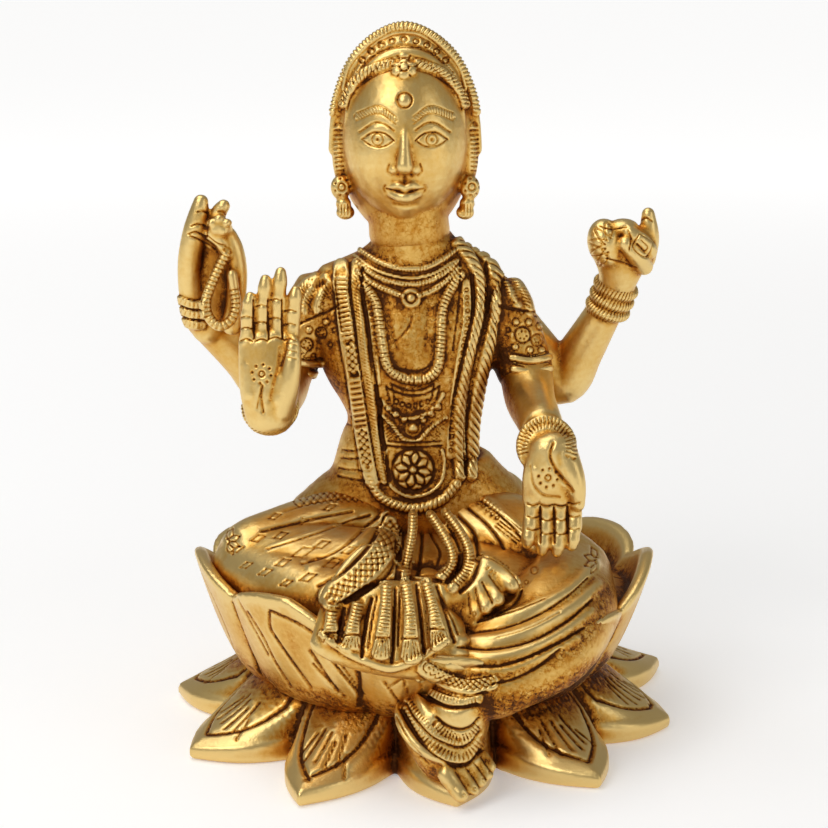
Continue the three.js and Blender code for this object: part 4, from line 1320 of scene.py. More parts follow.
def open_hand(wrist, up, palm, thumb, length, fingers, thumb_path, thick=1, broad=1):
    """A hand from its wrist: up runs along the fingers, palm is the way the palm faces."""
    along = unit(np.array(up, float))
    across = unit(np.cross(along, palm))
    out = np.cross(across, along)

    def place(x, y, z):
        return np.array(wrist) + across * x * thumb + along * y + out * z

    def through(points, widths):
        return [[*place(*point), *np.atleast_1d(width)] for point, width in zip(points, widths)]

    ahead = tuple(out)
    palm_line = [(0, -3, -1), (0, length * 0.2, -0.4), (0, length * 0.5, 0), (-0.5, length * 0.95, 0)]
    palm_size = [(7.4 * broad, 5.4), (9 * broad, 5), (9.5 * broad, 4.2), (9.1 * broad, 2.9)]
    mound = [(4, length * 0.14, 1.8), (4.8, length * 0.42, 2.4)]
    edge = [(-5.2, length * 0.2, 1.2), (-5.8, length * 0.6, 1)]
    forms = [
        limb(through(palm_line, palm_size), 28, 18, ahead),
        limb(through(mound, [(4.2, 3.6), (3.6, 3)]), 16, 10, ahead),
        limb(through(edge, [(3, 2.8), (2.6, 2.2)]), 16, 10, ahead),
        limb(through(thumb_path, (4.2, 3.7, 3, 2.3)), 18, 18, ahead),
    ]
    for finger in fingers:
        points = spline(finger, 6)
        widths = [size * thick for size in (2.3, 2.15, 2.4, 2.1, 2.25, 1.75)]
        forms.append(limb(through(points, widths), 16, 24, ahead))
    return forms


def straight_fingers(length, palm_length, fan, shares, curl=0.6):
    """Four fingers side by side, from the little finger to the first."""
    fingers = []
    for i, share in enumerate(shares):
        x = -6.9 + 4.6 * i
        reach = length * share
        fingers.append(
            [
                (x, palm_length - 3, 0),
                (x + fan * 0.3, palm_length + reach * 0.4, curl),
                (x + fan * 0.7, palm_length + reach * 0.75, curl * 2),
                (x + fan, palm_length + reach, curl * 2.4),
            ]
        )
    return fingers


def dots(centre, chart):
    """A small ring with dots round it, as drawn on a palm."""
    chart.ring(centre, 2.8, 0.9, 0.5)
    for k in range(8):
        chart.pit(on_circle(centre, 45 * k + 10, 9.5), 1.2, 0.7)


def stretch(stations, start, stop, thicker=0):
    """The stations of a limb between two places along it."""
    count = 40
    course = spline(with_both_radii(stations), count * (len(stations) - 1) + 1)
    picked = np.linspace(start * count, stop * count, 9).round().astype(int)
    return (course[picked] + [0, 0, 0, thicker, thicker]).tolist()


# The open hands: the wrist, the ways of the fingers and of the palm, the thumb's side, and the palm's length.
RAISED_HAND = ((-47.6, -41, 67), (0.02, 0.08, 1), (0, -1, 0.1), 1, 23.5)
LOWERED_HAND = ((40.4, -34, 49.5), (0.02, -0.05, -1), (0, -1, 0.1), -1, 15.5)
RAISED_THUMB = [(3.2, -0.5, 0.4), (5.6, 7, 2.2), (7, 14, 2.9), (7.3, 20.8, 2.2)]
LOWERED_THUMB = [(3.4, -1.5, 0.6), (5.8, 4, 2.4), (7.1, 9, 3), (7.5, 14.2, 2.4)]
# The hand that holds the stem: its body, the first finger, a bent one, its edge and a short finger across.
STEM_HAND = (
    ([(209, 328, 9, 6, 5.4), (209, 310, 6.5, 8.4, 5), (211, 285, 5.5, 9.6, 4.6), (214, 255, 5, 8.6, 4.2),
      (218, 238, 4, 6.3, 3.6)], 32, 22),
    ([(196, 318, 5, 4), (191, 292, 3, 4), (190, 262, 1.5, 4), (194, 235, 0.5, 3.9, 3.7),
      (198, 217, 0, 3.4, 3.1), (201, 202, 0, 2.5)], 24, 26),
    ([(213, 240, 2, 3.4), (214, 224, 1, 3), (219, 212, 0.5, 2.6), (223.5, 206, 0, 2.2)], 20, 16),
    ([(232, 325, 2, 3.4), (236, 300, 1, 3.2), (237, 272, 0.5, 3.4), (234, 250, 0, 3.2),
      (228, 236, -0.5, 3)], 22, 20),
    ([(226, 250, -1, 2.6), (220, 240, -2, 2.4), (211, 234, -2, 2.2)], 18, 12),
)
# The looped stem, its pixels and distances, and the bud on it with its small beads.
STEM = (
    (227, 252, -3), (219, 268, -4), (211, 286, -5), (206, 302, -6), (209, 317, -6.5), (219, 326, -6.5),
    (230, 321, -5), (236, 307, -4), (234, 288, -4), (232, 274, -4),
)
STEM_BUD = (220, 227, -2)
STEM_BUD_BEADS = ((212, 223), (219, 219), (227, 223), (216, 230), (224, 231))
# The fist: the wrist, a raised finger and two bent ones, then its rounded masses and its bud's middle.
FIST = (
    ([[61.5, 9, 92, 5.8, 5.8], [63.5, 5, 101, 6.7, 6.4], [64.3, 3, 110, 11.3, 8]], 28, 18),
    ([[71, 4, 107, 4.4], [72.6, 2.5, 114, 3.5], [72.2, 2, 121.5, 2.2]], 20, 14),
    ([[71, -1, 105, 3], [68, -5, 109, 3], [64.5, -5.5, 113, 2.7]], 18, 14),
    ([[72.5, -1, 110, 2.8], [69.5, -4.8, 113.5, 2.8], [65.5, -4.5, 116.5, 2.4]], 18, 14),
)
FIST_MASSES = (
    ((65.5, 1, 113), (8.5, 6, 5.5)),
    ((58.6, -0.5, 112.5), (6, 6.5, 8), (0, -14, 0)),
    ((64, -1, 117.5), (5, 4.5, 3)),
)
FIST_BUD = np.array([613, 246])
# Bangles: the middle, the axis, the radius, how many rings, their pitch, their thickness and their cuts.
BANGLES = (
    ((61.8, 9.5, 93), (0.28, -0.3, 0.92), 6.1, 3, 4.1, 1.75, 38),
    ((-47.6, -37, 66.8), (0.0, -0.8, 0.6), 7.8, 1, 3, 1.4, 44),
    (tuple(seen(546.5, 446, -30.5)), (0.05, -0.96, 0.28), 7.9, 1, 3, 1.9, 0),
    (tuple(seen(547.5, 449, -32)), (0.05, -0.96, 0.28), 6.2, 1, 3, 1.6, 0),
)
# The rings at the wrist of the hand with the stem: their rows, their line and the line of the cut over each.
WRIST_ROWS = (303, 313, 323)
WRIST_RING = np.array([[175, -5], [188, 0], [202, 2]])
WRIST_CUT = np.array([[176, -9], [188, -4], [201, -2]])
# The fingers of the two open palms: the pixel column, and the rows of the tip and of the root.
RAISED_FINGERS = ((246, 305, 340), (261.5, 288, 340), (275.5, 280, 338), (290, 296, 339))
LOWERED_FINGERS = ((533, 543, 504), (547, 549, 505), (561, 549, 505), (574, 543, 503))
# Lines across a finger: at its joints, and at the roots of the raised and the lowered hand.
JOINT = np.array([[-6, 1], [0, -0.6], [6, 1]])
JOINT_SHARES = (0.34, 0.66)
RAISED_ROOT = np.array([[-6, 1], [0, -1], [6, 1]])
LOWERED_ROOT = np.array([[-6, 0], [0, 1.5], [6, 0]])
# Each open palm: its fingers, the columns and rows of the cuts between them, which way a joint bows, and the
# line at a root with its depth.
PALMS = (
    (RAISED_FINGERS, (254, 268.5, 282.5), (300, 320, 339), 1, RAISED_ROOT, 0.5),
    (LOWERED_FINGERS, (540, 554, 567.5), (507, 525, 543), -1, LOWERED_ROOT, 0.6),
)
PALM_DOTS = ([261.5, 374], [548, 478])
THUMB_CUT = np.array([[287, 343], [297, 345]])
BRACELET = [547, 447.5]
# The lines of both palms: the pixels of a path, half its width, its depth and how dark it is.
PALM_LINES = (
    ([[262, 386], [261, 397], [263, 412]], 1.5, 0.6),
    ([[262, 386], [259, 397], [257, 408]], 0.9, 0.35),
    ([[280, 348], [278, 366], [273, 384], [270, 400]], 1.6, 0.3, 0.3),
    ([[287, 341], [284, 356], [281, 366]], 1.1, 0.5),
    ([[553, 443], [550, 456], [557, 472], [572, 492]], 1.8, 0.7, 0.5),
    ([[530, 466], [533, 484], [543, 495], [560, 497]], 1.2, 0.3, 0.3),
)
# Cuts between the bent fingers of the other two hands.
FINGER_CUTS = (
    [[197, 212], [202, 211], [207, 213]],
    [[191, 226], [198, 224], [206, 226]],
    [[188, 234], [196, 232], [206, 237]],
    [[208, 205], [208, 220], [206, 236]],
    [[218, 211], [224, 213], [229, 218]],
    [[207, 236], [216, 243], [226, 246]],
    [[190, 236], [200, 240], [216, 250]],
    [[640, 233], [653, 243], [646, 257], [633, 247], [640, 233]],
    [[641, 240], [648, 247], [645, 252]],
    [[637, 244], [644, 251]],
    [[628, 230], [631, 240], [629, 250]],
    [[641, 220], [646, 218], [652, 221]],
    [[606, 259], [620, 262], [636, 268]],
    [[600, 226], [612, 229], [626, 227]],
)
# Darker colour on the hands, and painted shade on the forearm where it passes the body: the pixels of a path,
# half its width and its amount.
HAND_WASHES = (
    ([[200, 212], [199, 240], [200, 262], [206, 280]], 13, 0.6),
    ([[222, 268], [224, 290], [221, 312]], 13, 0.6),
    ([[212, 220], [226, 228], [236, 245], [238, 280], [236, 320]], 9, 0.3),
    ([[600, 230], [606, 250], [622, 262]], 16, 0.45),
    ([[612, 226], [626, 234], [634, 250]], 12, 0.5),
    ([[592, 290], [612, 300], [634, 304]], 16, 0.35),
    ([[506, 384], [512, 408], [518, 430]], 12, 0.8),
    ([[520, 440], [547, 418], [574, 440]], 10, 0.3),
)


def arm_forms():
    blessing = straight_fingers(18, RAISED_HAND[-1], 1, (0.62, 0.92, 1.05, 0.74))
    giving = straight_fingers(14, LOWERED_HAND[-1], -1.5, (0.78, 0.96, 1, 0.86), 1)
    forms = [
        limb(stretch(FRONT_RIGHT_ARM, 1.45, 5), 32, 28, SIDEWAYS),
        limb(stretch(FRONT_LEFT_ARM, 1.5, 4.6), 32, 28, SIDEWAYS),
        limb(stretch(REAR_RIGHT_ARM, 0.8, 4), 32, 28),
        limb(stretch(REAR_LEFT_ARM, 0.8, 4), 32, 28),
        *open_hand(*RAISED_HAND, blessing, RAISED_THUMB),
        *open_hand(*LOWERED_HAND, giving, LOWERED_THUMB, 1.08, 1.04),
        *[drawn(*part) for part in STEM_HAND],
        *[limb(*part) for part in FIST],
        *[blob(*mass) for mass in FIST_MASSES],
        blob(seen(*STEM_BUD), (4.2, 3.6, 3.4), (0, 25, 0)),
        *[blob(seen(*place, -4), (1.7, 1.7, 1.5)) for place in STEM_BUD_BEADS],
        cord([seen(*point) for point in STEM], 1.75, 1, 60, 14),
    ]
    for centre, axis, radius, rings, pitch, thick, _ in BANGLES:
        axis = unit(np.array(axis, float))
        for k in range(rings):
            place = np.array(centre) + axis * pitch * (k - (rings - 1) / 2)
            forms.append(hoop(place, axis, radius, thick, min(pitch * 0.44, 2)))
    return forms


def cut_palms(chart):
    """The joints, lines and dots of the two open palms, and the bracelet above the lowered one."""
    for fingers, columns, rows, bow, root_line, root_depth in PALMS:
        for x, tip, root in fingers:
            for share in JOINT_SHARES:
                chart.groove(JOINT * [1, bow] + [x, tip + (root - tip) * share], 0.8, 0.45)
            chart.groove(root_line + [x, root], 0.9, root_depth)
        for x in columns:
            chart.groove([[x, y] for y in rows], 0.9, 0.9)
    for centre in PALM_DOTS:
        dots(centre, chart)
    for line in PALM_LINES:
        chart.groove(*line)
    for k in range(3):
        chart.groove(THUMB_CUT + [0, 7 * k], 0.8, 0.35)
    for reach in (28.5, 22.5):
        arc = [on_circle(BRACELET, -degrees, reach) for degrees in range(-20, 201, 20)]
        chart.hatch(arc, 3.4, 0.45, 3.8)


def cut_buds(chart):
    """The looped stem, the rings at its wrist, and the petals of the bud at the fist, open to the left."""
    chart.hatch([point[:2] for point in STEM[:-1]], 6, 0.45, 4.6)
    for y in WRIST_ROWS:
        chart.groove(WRIST_CUT + [0, y], 0.8, 0.6)
        chart.hatch(WRIST_CUT + [0, y + 5], 3.6, 0.35, 5)
    for k in range(5):
        out = np.array(on_circle((0, 0), -105 - 32 * k, 1))
        chart.leaf(FIST_BUD, out, (8, 16, 25), 4, 1, 0.9, 0.35)
        chart.pit(FIST_BUD + out * 12, 1.2, 0.35)


def four_arms():
    """The forearms with their hands, bangles and lotus buds."""
    relief = Relief("four_arms", arm_forms(), 0.42)
    relief.melt(4)
    for centre, axis, radius, rings, pitch, _, cuts in BANGLES:
        if cuts:
            relief.twist_round(centre, axis, radius, rings * pitch / 2, cuts, 0.4)
    chart = relief.picture()
    for y in WRIST_ROWS:
        chart.band(WRIST_RING + [0, y], 4.6, 0.8)
    relief.settle()
    chart = relief.picture()
    cut_palms(chart)
    cut_buds(chart)
    for path in FINGER_CUTS:
        chart.groove(path, 0.9, 0.5)
    for wash in HAND_WASHES:
        chart.wash(*wash)
    relief.stain_and_shade -= 0.12
    relief.lift += 0.015 * grain(relief.points, 2, 7)
    relief.finish()


HEAD = (-6, 3, 146)
FACE_RADII = (20.4, 20, 30)
# Soft forms of the face: where each lies, how wide it is there and how far it stands out.
FACE_FORMS = (
    ((-0.5, -0.72, -0.36), 0.42, 1.5),
    ((0.5, -0.72, -0.36), 0.42, 1.5),
    ((0, -0.55, -0.8), 0.26, 2.2),
    ((0, -0.8, 0.5), 0.5, 0.5),
)
NECK = [[-4.4, 6.5, 106, 10, 8], [-4.6, 5, 113.5, 12.9, 11.6], [-5, 4, 119, 13, 13], [-5.4, 4, 126, 13, 13]]
# Places on the head from its middle: to her left, backwards and up, with radii where they end the row.
NOSE_RIDGE = ((0, -17.2, 7, 1.9, 2.2), (0, -19.8, -1, 1.9, 2.2), (0, -20.9, -7, 2.7, 2.5))
NOSE_FOOT = ((0, -18, -4, 3, 2), (0, -18, -9, 4.4, 2))
LOWER_LIP = ((-4.4, -16.6, -16, 1.1, 1.2), (0, -18.6, -16.9, 1.9, 2), (4.4, -16.6, -16, 1.1, 1.2))
# One side of what comes in pairs: half the upper lip, the ear's edge, the eyelids and the brow.
UPPER_LIP = ((5.6, -16.4, -14.4, 0.8), (2.2, -18.6, -13.2, 1.35), (0, -18.9, -13.9, 1.1))
EAR_EDGE = ((21, -3, 4), (22.6, -0.5, 1), (22, -1, -9))
LID_EDGE = ((3.2, -17.6, 1.2), (6, -18.2, 4.1), (9.4, -17.6, 4.5), (13.8, -13.6, 1.6))
LOWER_LID_EDGE = ((3.8, -17.2, 0.6), (8.4, -17.3, -1.8), (13, -14, 0.6))
BROW_RIDGE = ((2.6, -18, 6.8), (8, -17.2, 10), (15, -12, 7.4))
# The crown's two arches: half the width, the depths at the ends and on top, the heights there, and its rings.
ARCHES = ((22.8, (0, -3), (-4, 34.2), 60), (17.6, (-5.6, -9.6), (3, 27), 50))
# Raised work on the crown and the hair: its ribbed rim, the band within it and two ropes of hair.
CROWN_RIM = [
    [331, 112], [333, 95], [341, 76], [353, 57], [378, 35], [404, 26], [431, 35], [456, 57], [467, 76],
    [474, 95], [476, 112],
]
CROWN_BAND = [
    [349, 88], [355, 66], [372, 48], [390, 39], [404, 36.5], [420, 39], [438, 48], [452, 66], [460, 88],
]
CROWN_WORK = (
    ("rope", CROWN_RIM, 4.2, 1, 4.2, 0.25, 0.6),
    ("band", CROWN_BAND, 7.5, 0.8, 0.2),
    ("rope", [[343, 104], [347, 93], [355, 82], [369, 71], [390, 63]], 5, 1.3, 4.2, 0.8, 0.5),
    ("rope", [[465, 104], [461, 93], [453, 82], [439, 71], [418, 63]], 5, 1.3, 4.2, 0.8, 0.5),
)
JEWEL = [404, 66]
# Cuts along the band and the hair, and the rings on the band.
CROWN_CUTS = (
    [[345, 88], [351, 66], [370, 46], [389, 33.5], [404, 31], [421, 33.5], [438, 46], [457, 66], [464, 88]],
    [[353, 84], [359, 70], [378, 53], [404, 46], [431, 53], [449, 70], [455, 84]],
    [[347, 110], [351, 97], [360, 86], [374, 76], [391, 70]],
    [[462, 110], [458, 97], [449, 86], [435, 76], [417, 70]],
)
CROWN_RINGS = (
    [362, 60], [371, 51], [381, 45], [392, 41], [404, 39], [416, 41], [427, 45], [437, 51], [446, 60],
)
# The eye, in millimetres beside and above the middle of the head.
UPPER_LID = [[3.4, 0.9], [5.8, 2.9], [8.8, 3.4], [11.4, 2.5], [13.4, 0.9]]
LID_CREASE = [[3.4, 4], [6.4, 6], [9.6, 6.2], [14.2, 3]]
LOWER_LID = [[4, 0.5], [6, -0.8], [8.6, -1.2], [11, -0.6], [12.8, 0.5]]
BROW = [[2.8, 7.2], [8.2, 10.3], [15.2, 7.6]]
EYE = [8.5, 1.1]
# Cuts on both sides of the face: half their widths, their depths and how dark they are.
PAIRED_CUTS = (
    (UPPER_LID, 0.3, 0.5, 0.9),
    (LID_CREASE, 0.35, 0.35, 0.9),
    (LOWER_LID, 0.28, 0.4, 0.9),
    ([[4.8, -6.4], [5.4, -8.6], [4.2, -10]], 0.35, 0.3),
    ([[6.2, -13.4], [6.6, -14.4], [6.3, -15.4]], 0.4, 0.3),
)
NOSTRIL = [2, -10]
FOREHEAD_MARK = [0, 13.2]
UNDER_CHIN = [[-12, -26], [0, -28], [12, -26]]
# The lips, the chin and the groove over the lips.
MOUTH_CUTS = (
    ([[-5.8, -14.4], [-2.6, -14.9], [0, -15.3], [2.6, -14.9], [5.8, -14.4]], 0.3, 0.45, 1),
    ([[-3.4, -19.4], [0, -20], [3.4, -19.4]], 0.7, 0.35, 0.4),
    ([[0, -10.8], [0, -12.2]], 0.7, 0.3, 0.4),
)
# The discs at the ears, and the combed hair above them.
EARS = ([342, 187], [472, 187])
SIDE_HAIR = ([[338, 126], [338, 150], [340, 172]], [[474, 126], [475, 150], [475, 172]])
# Darker colour beside the hair at the ears and over the crown, and painted shade on the neck under the chin:
# the pixels of a path, half its width and its amount.
HEAD_WASHES = (
    ([[336, 112], [337, 150], [340, 180]], 8, 0.5),
    ([[477, 112], [478, 150], [476, 180]], 8, 0.5),
    ([[342, 108], [352, 80], [378, 56], [404, 48], [431, 56], [456, 80], [466, 108]], 12, 0.25),
    ([[372, 240], [404, 246], [440, 240]], 18, 0.5),
    ([[376, 222], [404, 228], [436, 222]], 14, 0.45),
)


def on_head(x, y, z):
    return (HEAD[0] + x, HEAD[1] + y, HEAD[2] + z)


def along_head(stations):
    return [[*on_head(x, y, z), *radii] for x, y, z, *radii in stations]


def pair(points, radius, flat=1):
    """The same cord on both sides of the face."""
    return [cord([on_head(side * x, y, z) for x, y, z in points], radius, flat) for side in (-1, 1)]


def shaped_face():
    """An egg with cheeks, a chin and a forehead that stand out softly."""
    hx, hy, hz = HEAD
    face = blob(HEAD, FACE_RADII)
    for vertex in face.verts:
        from_middle = vertex.co - Vector((hx, hy, hz + CUSHION_TOP))
        place = Vector([reach / radius for reach, radius in zip(from_middle, FACE_RADII)])
        for centre, width, height in FACE_FORMS:
            near = math.exp(-((place - Vector(centre)).length_squared) / width**2)
            vertex.co += place.normalized() * height * near
        below = min(0, place.z)
        vertex.co.z -= 2.7 * below
        vertex.co.x = hx + (vertex.co.x - hx) * (1 - 0.04 * below**2)
    return face


def crown_arches():
    arches = []
    for across, depths, heights, rings in ARCHES:
        arch = []
        for degrees in range(-90, 91, 15):
            turned = math.radians(degrees)
            y, z = (foot + (top - foot) * math.cos(turned) for foot, top in (depths, heights))
            arch.append(on_head(across * math.sin(turned), y, z))
        arches.append(cord(arch, 1.9, 1, rings, 14))
    return arches


def head_forms():
    forms = [
        shaped_face(),
        limb(NECK, 36, 18),
        blob(on_head(0, 4, 1), (22.4, 20, 34.2)),
        blob(on_head(0, 22, -2), (11, 8, 12)),
        limb(along_head(NOSE_RIDGE), 20, 14),
        limb(along_head(NOSE_FOOT), 20, 10),
        limb(along_head(LOWER_LIP), 16, 14, UP),
    ]
    for side in (-1, 1):
        upper_lip = [(side * x, y, z, radius) for x, y, z, radius in UPPER_LIP]
        ear = [(side * x, y, z) for x, y, z in EAR_EDGE]
        forms += [
            limb(along_head(upper_lip), 14, 12, UP),
            blob(on_head(side * 3.1, -18.2, -8.2), (1.9, 2.2, 1.8)),
            blob(on_head(side * 8.3, -14.9, 1.2), (5.2, 3.1, 3)),
            blob(on_head(side * 20.6, 0, -5), (2.8, 4.4, 10.5)),
            cord(along_head(ear), 1.3, 1, 16, 10),
            blob(on_head(side * 20.6, -3.6, -15.6), (3.3, 3.2, 4)),
            blob(on_head(side * 19.8, -3.6, -20.8), (2.5, 2.6, 2.4)),
            blob(on_head(side * 19.2, -3.6, -23.6), (3, 2.8, 2.4)),
        ]
    forms += pair(LID_EDGE, 0.62)
    forms += pair(LOWER_LID_EDGE, 0.5)
    forms += pair(BROW_RIDGE, 1, 0.7)
    forms += crown_arches()
    forms.append(blob(on_head(0, -12.6, 19.5), (5, 3, 5)))
    return forms


def raise_crown(chart):
    chart.work(CROWN_WORK)
    for k in range(6):
        chart.boss(on_circle(JEWEL, 60 * k - 90, 8.5, 7.4), 5.8, 0.6)
    chart.boss(JEWEL, 5, 0.9)


def cut_crown(chart):
    """The lines and rings of the crown, its jewel, and the discs and hair at the ears."""
    for path in CROWN_CUTS:
        chart.groove(path, 0.8, 0.35)
    for centre in CROWN_RINGS:
        chart.ring(centre, 2.9, 0.9, 0.5)
    chart.ring(JEWEL, 5, 0.9, 0.5)
    for k in range(6):
        chart.groove([on_circle(JEWEL, 60 * k - 60, reach, reach * 0.9) for reach in (5, 13)], 0.8, 0.4)
    for disc in EARS:
        chart.ring(disc, 4, 1, 0.6)
        for k in range(7):
            chart.pit(on_circle(disc, 360 / 7 * k, 8, 9), 1.2, 0.6)
        chart.hatch(disc + np.array([[-8, 23], [10, 23]]), 7, 0.4, 3.6)
    for path in SIDE_HAIR:
        chart.hatch(path, 5, 0.4, 4.5)
    for wash in HEAD_WASHES:
        chart.wash(*wash)


def cut_face(relief):
    """The eyes, brows, lips and nostrils, in millimetres beside and above the middle of the head."""
    hx, hy, hz = HEAD
    before = (relief.normals[:, 1] < -0.1) & (relief.points[:, 1] < hy - 8)
    front = Chart(relief, relief.points[:, [0, 2]] - [hx, hz + CUSHION_TOP], before)
    for side in (-1, 1):
        flip = np.array([side, 1])
        for path, *sizes in PAIRED_CUTS:
            front.groove(path * flip, *sizes)
        front.ring(EYE * flip, 1.75, 0.26, 0.35)
        front.pit(EYE * flip, 0.55, 0.4)
        front.hatch(BROW * flip, 1.1, 0.25, 0.9, 0.5)
        for offset in (-1.2, 1.2):
            front.groove(BROW * flip + [0, offset], 0.25, 0.2, 0.8)
        front.pit(NOSTRIL * flip, 0.6, 0.5)
    for cut in MOUTH_CUTS:
        front.groove(*cut)
    front.boss(FOREHEAD_MARK, 1.9, 0.9)
    front.ring(FOREHEAD_MARK, 2.3, 0.3, 0.4)
    # Painted shade under the chin.
    front.wash(UNDER_CHIN, 5, 0.25)


def comb_hair(relief):
    """Combed strands over the back of the head and the knot."""
    hx, hy, hz = HEAD
    around = np.degrees(np.arctan2(relief.points[:, 0] - hx, relief.points[:, 1] - hy - 4))
    height = relief.points[:, 2] - CUSHION_TOP - hz
    combed = np.sin(np.radians(around * 15 + 30 * np.sin(height / 9)))
    fade = np.clip((height + 26) / 5, 0, 1) * np.clip((relief.points[:, 1] - hy - 1) / 3, 0, 1)
    relief.lift += 0.3 * combed * fade
    relief.stain_and_shade += 0.3 * np.maximum(-combed, 0) * fade


def crowned_head():
    """The head and neck, with hair, crown and earrings."""
    relief = Relief("crowned_head", head_forms(), 0.36)
    relief.melt(6)
    raise_crown(relief.picture(-0.1))
    relief.settle()
    cut_crown(relief.picture())
    cut_face(relief)
    comb_hair(relief)
    relief.stain_and_shade -= 0.12
    relief.finish()


# The colours of the brass, from rubbed metal to the dirt that lies in the hollows; the darker ones also serve
# for painted shade.
PATINA_AND_SHADE = (
    (0.0, (0.81, 0.58, 0.225)),
    (0.2, (0.735, 0.45, 0.118)),
    (0.42, (0.585, 0.265, 0.034)),
    (0.68, (0.39, 0.128, 0.013)),
    (1.0, (0.085, 0.026, 0.005)),
)


def ranged(tree, value, low, high, at_low, at_high):
    """Goes evenly from at_low to at_high while a value goes from low to high."""
    node = tree.nodes.new("ShaderNodeMapRange")
    tree.links.new(value, node.inputs["Value"])
    for name, limit in (("From Min", low), ("From Max", high), ("To Min", at_low), ("To Max", at_high)):
        node.inputs[name].default_value = limit
    return node.outputs["Result"]


def aged_and_shaded_brass():
    """Cast brass: bright where it is rubbed, brown to black in the hollows, and darkened by painted shade
    from ambient occlusion and from the marks laid on each piece.
    """
    material = bpy.data.materials.new("aged_and_shaded_brass")
    material.use_nodes = True
    nodes, links = material.node_tree.nodes, material.node_tree.links
    shader = nodes["Principled BSDF"]
    place = nodes.new("ShaderNodeTexCoord").outputs["Object"]

    def noise(scale, detail, roughness=0.55):
        node = nodes.new("ShaderNodeTexNoise")
        node.inputs["Scale"].default_value = scale
        node.inputs["Detail"].default_value = detail
        node.inputs["Roughness"].default_value = roughness
        links.new(place, node.inputs["Vector"])
        return node.outputs["Fac"]

    def value_of(name):
        node = nodes.new("ShaderNodeAttribute")
        node.attribute_name = name
        return node.outputs["Fac"]

    def math_of(kind, *values):
        node = nodes.new("ShaderNodeMath")
        node.operation = kind
        for socket, value in zip(node.inputs, values):
            if isinstance(value, (int, float)):
                socket.default_value = value
            else:
                links.new(value, socket)
        return node.outputs[0]

    def ramp(fac, stops):
        node = nodes.new("ShaderNodeValToRGB")
        elements = node.color_ramp.elements
        while len(elements) < len(stops):
            elements.new(0.5)
        for element, (position, colour) in zip(elements, stops):
            element.position = position
            element.color = (*colour, 1)
        links.new(fac, node.inputs["Fac"])
        return node.outputs["Color"]

    # The dirt and painted shade: what the shape hides, what was marked on the pieces (dirt, with painted
    # shade and light), and an uneven wash over all.
    hollow = math_of("MULTIPLY", value_of("hollow"), 0.5)
    marked = math_of("MULTIPLY", value_of("stain_and_shade"), 0.5)
    lying = math_of("MAXIMUM", math_of("ADD", marked, hollow), 0)
    rough = math_of("ADD", math_of("MINIMUM", lying, 0.5), 0.12)
    wash = math_of("MULTIPLY", math_of("SUBTRACT", noise(55, 5), 0.5), 0.6)
    speck = math_of("MULTIPLY", math_of("SUBTRACT", noise(620, 5), 0.5), math_of("MULTIPLY", rough, 3))
    dirt_and_shade = math_of("ADD", math_of("ADD", hollow, marked), math_of("ADD", wash, speck))
    # Where the dirt and painted shade lie thick, the colour is cracked, and rubbed off in patches.
    thick = math_of("SUBTRACT", rough, 0.12)
    away = math_of("ABSOLUTE", math_of("SUBTRACT", noise(430, 3), 0.5))
    crack = math_of("MAXIMUM", math_of("SUBTRACT", 1, math_of("MULTIPLY", away, 30)), 0)
    patch = math_of("MULTIPLY", math_of("SUBTRACT", noise(170, 4), 0.58), 3.2)
    broken = math_of("MULTIPLY", thick, math_of("ADD", math_of("MULTIPLY", crack, 1.5), patch))
    dirt_and_shade = math_of("ADD", dirt_and_shade, broken)
    # Painted shade from ambient occlusion: darker in hollows and where the pieces shut each other in, partly
    # standing for the patina in the hollows.
    hidden = nodes.new("ShaderNodeAmbientOcclusion")
    hidden.samples = 8
    hidden.inputs["Distance"].default_value = 0.014
    shade = math_of("SUBTRACT", 0.8, hidden.outputs["AO"])
    dirt_and_shade = math_of("ADD", dirt_and_shade, math_of("MULTIPLY", math_of("MAXIMUM", shade, -0.15), 0.9))
    amount = math_of("ADD", math_of("MULTIPLY", dirt_and_shade, 0.8), 0.31)
    tree = material.node_tree
    links.new(ramp(amount, PATINA_AND_SHADE), shader.inputs["Base Color"])
    links.new(ranged(tree, amount, 0.55, 1, 1, 0.9), shader.inputs["Metallic"])
    links.new(ranged(tree, amount, 0, 0.9, 0.34, 0.5), shader.inputs["Roughness"])
    coarse = math_of("MULTIPLY", noise(620, 5, 0.65), math_of("MULTIPLY", rough, 2.6))
    height = math_of("ADD", coarse, math_of("MULTIPLY", noise(1500, 3), 0.15))
    height = math_of("SUBTRACT", height, math_of("MULTIPLY", crack, thick))
    bump = nodes.new("ShaderNodeBump")
    bump.inputs["Strength"].default_value = 0.5
    bump.inputs["Distance"].default_value = 0.0006
    links.new(height, bump.inputs["Height"])
    links.new(bump.outputs["Normal"], shader.inputs["Normal"])
    return material


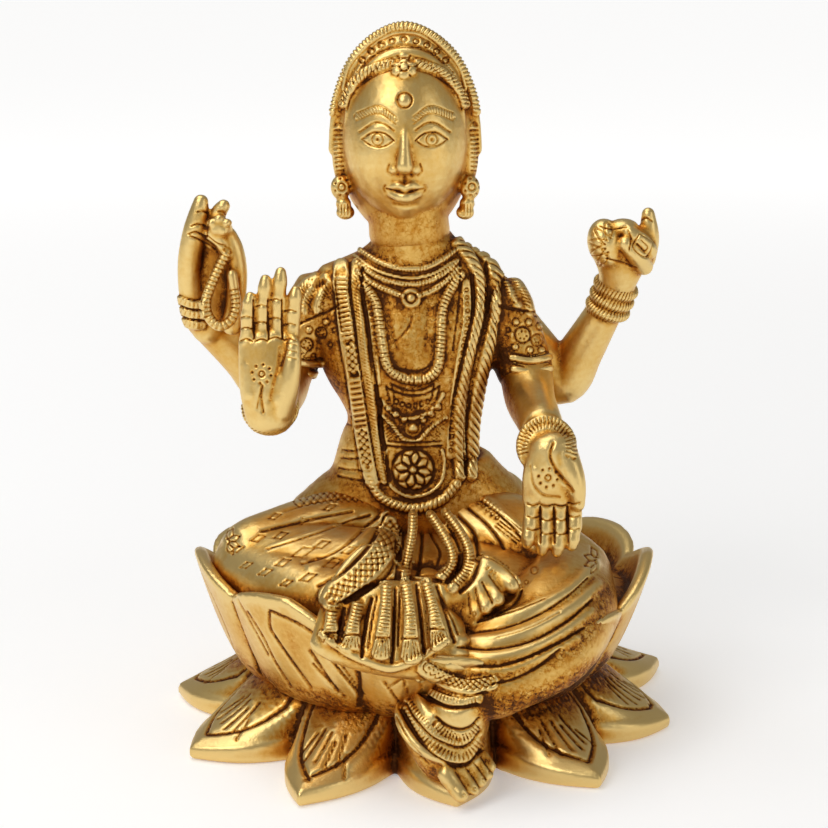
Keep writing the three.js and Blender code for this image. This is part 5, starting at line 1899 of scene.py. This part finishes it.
def table():
    """A plain pale floor that the figure stands on."""
    bm = bmesh.new()
    bmesh.ops.create_grid(bm, x_segments=1, y_segments=1, size=40)
    mesh = bpy.data.meshes.new("table")
    bm.to_mesh(mesh)
    bm.free()
    floor = placed("table", mesh)
    material = bpy.data.materials.new("pale_table")
    material.use_nodes = True
    tree = material.node_tree
    shader = tree.nodes["Principled BSDF"]
    shader.inputs["Base Color"].default_value = (0.9, 0.9, 0.9, 1)
    shader.inputs["Roughness"].default_value = 0.7
    shader.inputs["Emission Color"].default_value = (1, 1, 1, 1)
    # The lamps reach less of the floor far away, so it glows more there.
    distance = tree.nodes.new("ShaderNodeVectorMath")
    distance.operation = "LENGTH"
    tree.links.new(tree.nodes.new("ShaderNodeTexCoord").outputs["Object"], distance.inputs[0])
    glow = ranged(tree, distance.outputs["Value"], 0.2, 1.6, 0.3, 0.68)
    tree.links.new(glow, shader.inputs["Emission Strength"])
    mesh.materials.append(material)
    floor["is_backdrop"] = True


# Lamps, in metres: the name, the place, the width, the height and the power; and where they all point.
LAMPS = (
    ("window", (-0.7, -0.9, 1.0), 0.8, 0.7, 6.0),
    ("fill", (1.0, -0.7, 0.5), 0.5, 0.8, 1.4),
    ("top", (-0.35, 0.05, 1.3), 1.0, 0.9, 5.8),
)
LIT_POINT = (0, 0, 0.12)
ROOM_COLOUR = (1, 0.985, 0.96, 1)
ROOM_STRENGTH = 0.31
FRAME_WIDTH = 36


def softbox(name, place, width, height, power):
    """A flat rectangular lamp that faces the figure."""
    lamp = bpy.data.lights.new(name, "AREA")
    lamp.shape = "RECTANGLE"
    lamp.size, lamp.size_y = width, height
    lamp.energy = power
    light = placed(name, lamp)
    light.location = place
    light.rotation_euler = (Vector(LIT_POINT) - Vector(place)).to_track_quat("-Z", "Y").to_euler()


def room():
    """An even pale light from all round."""
    world = bpy.data.worlds.new("room")
    world.use_nodes = True
    background = world.node_tree.nodes["Background"]
    background.inputs["Color"].default_value = ROOM_COLOUR
    background.inputs["Strength"].default_value = ROOM_STRENGTH
    bpy.context.scene.world = world


def camera():
    """The camera in front, level with the crown and looking down a little."""
    eye = bpy.data.cameras.new("camera")
    eye.sensor_width = FRAME_WIDTH
    eye.lens = FRAME_WIDTH * FOCAL / PICTURE
    eye.shift_x = (PICTURE / 2 - MIDDLE_X) / PICTURE
    eye.clip_start = 0.01
    seat = placed("camera", eye)
    seat.location = (0, -CAMERA_BACK * MM, CAMERA_HEIGHT * MM)
    seat.rotation_euler = (math.pi / 2 - CAMERA_TILT, 0, 0)
    bpy.context.scene.camera = seat


brass = aged_and_shaded_brass()
for make in (lotus_base, lotus_seat, clothed_body, lower_body, four_arms, crowned_head):
    make()

camera()
table()
for lamp in LAMPS:
    softbox(*lamp)
room()
bpy.context.scene.view_settings.view_transform = "Standard"

boxes = {"cad": cad_box, "visual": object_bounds()}
{name: [list(map(float, corner)) for corner in box] for name, box in boxes.items()}
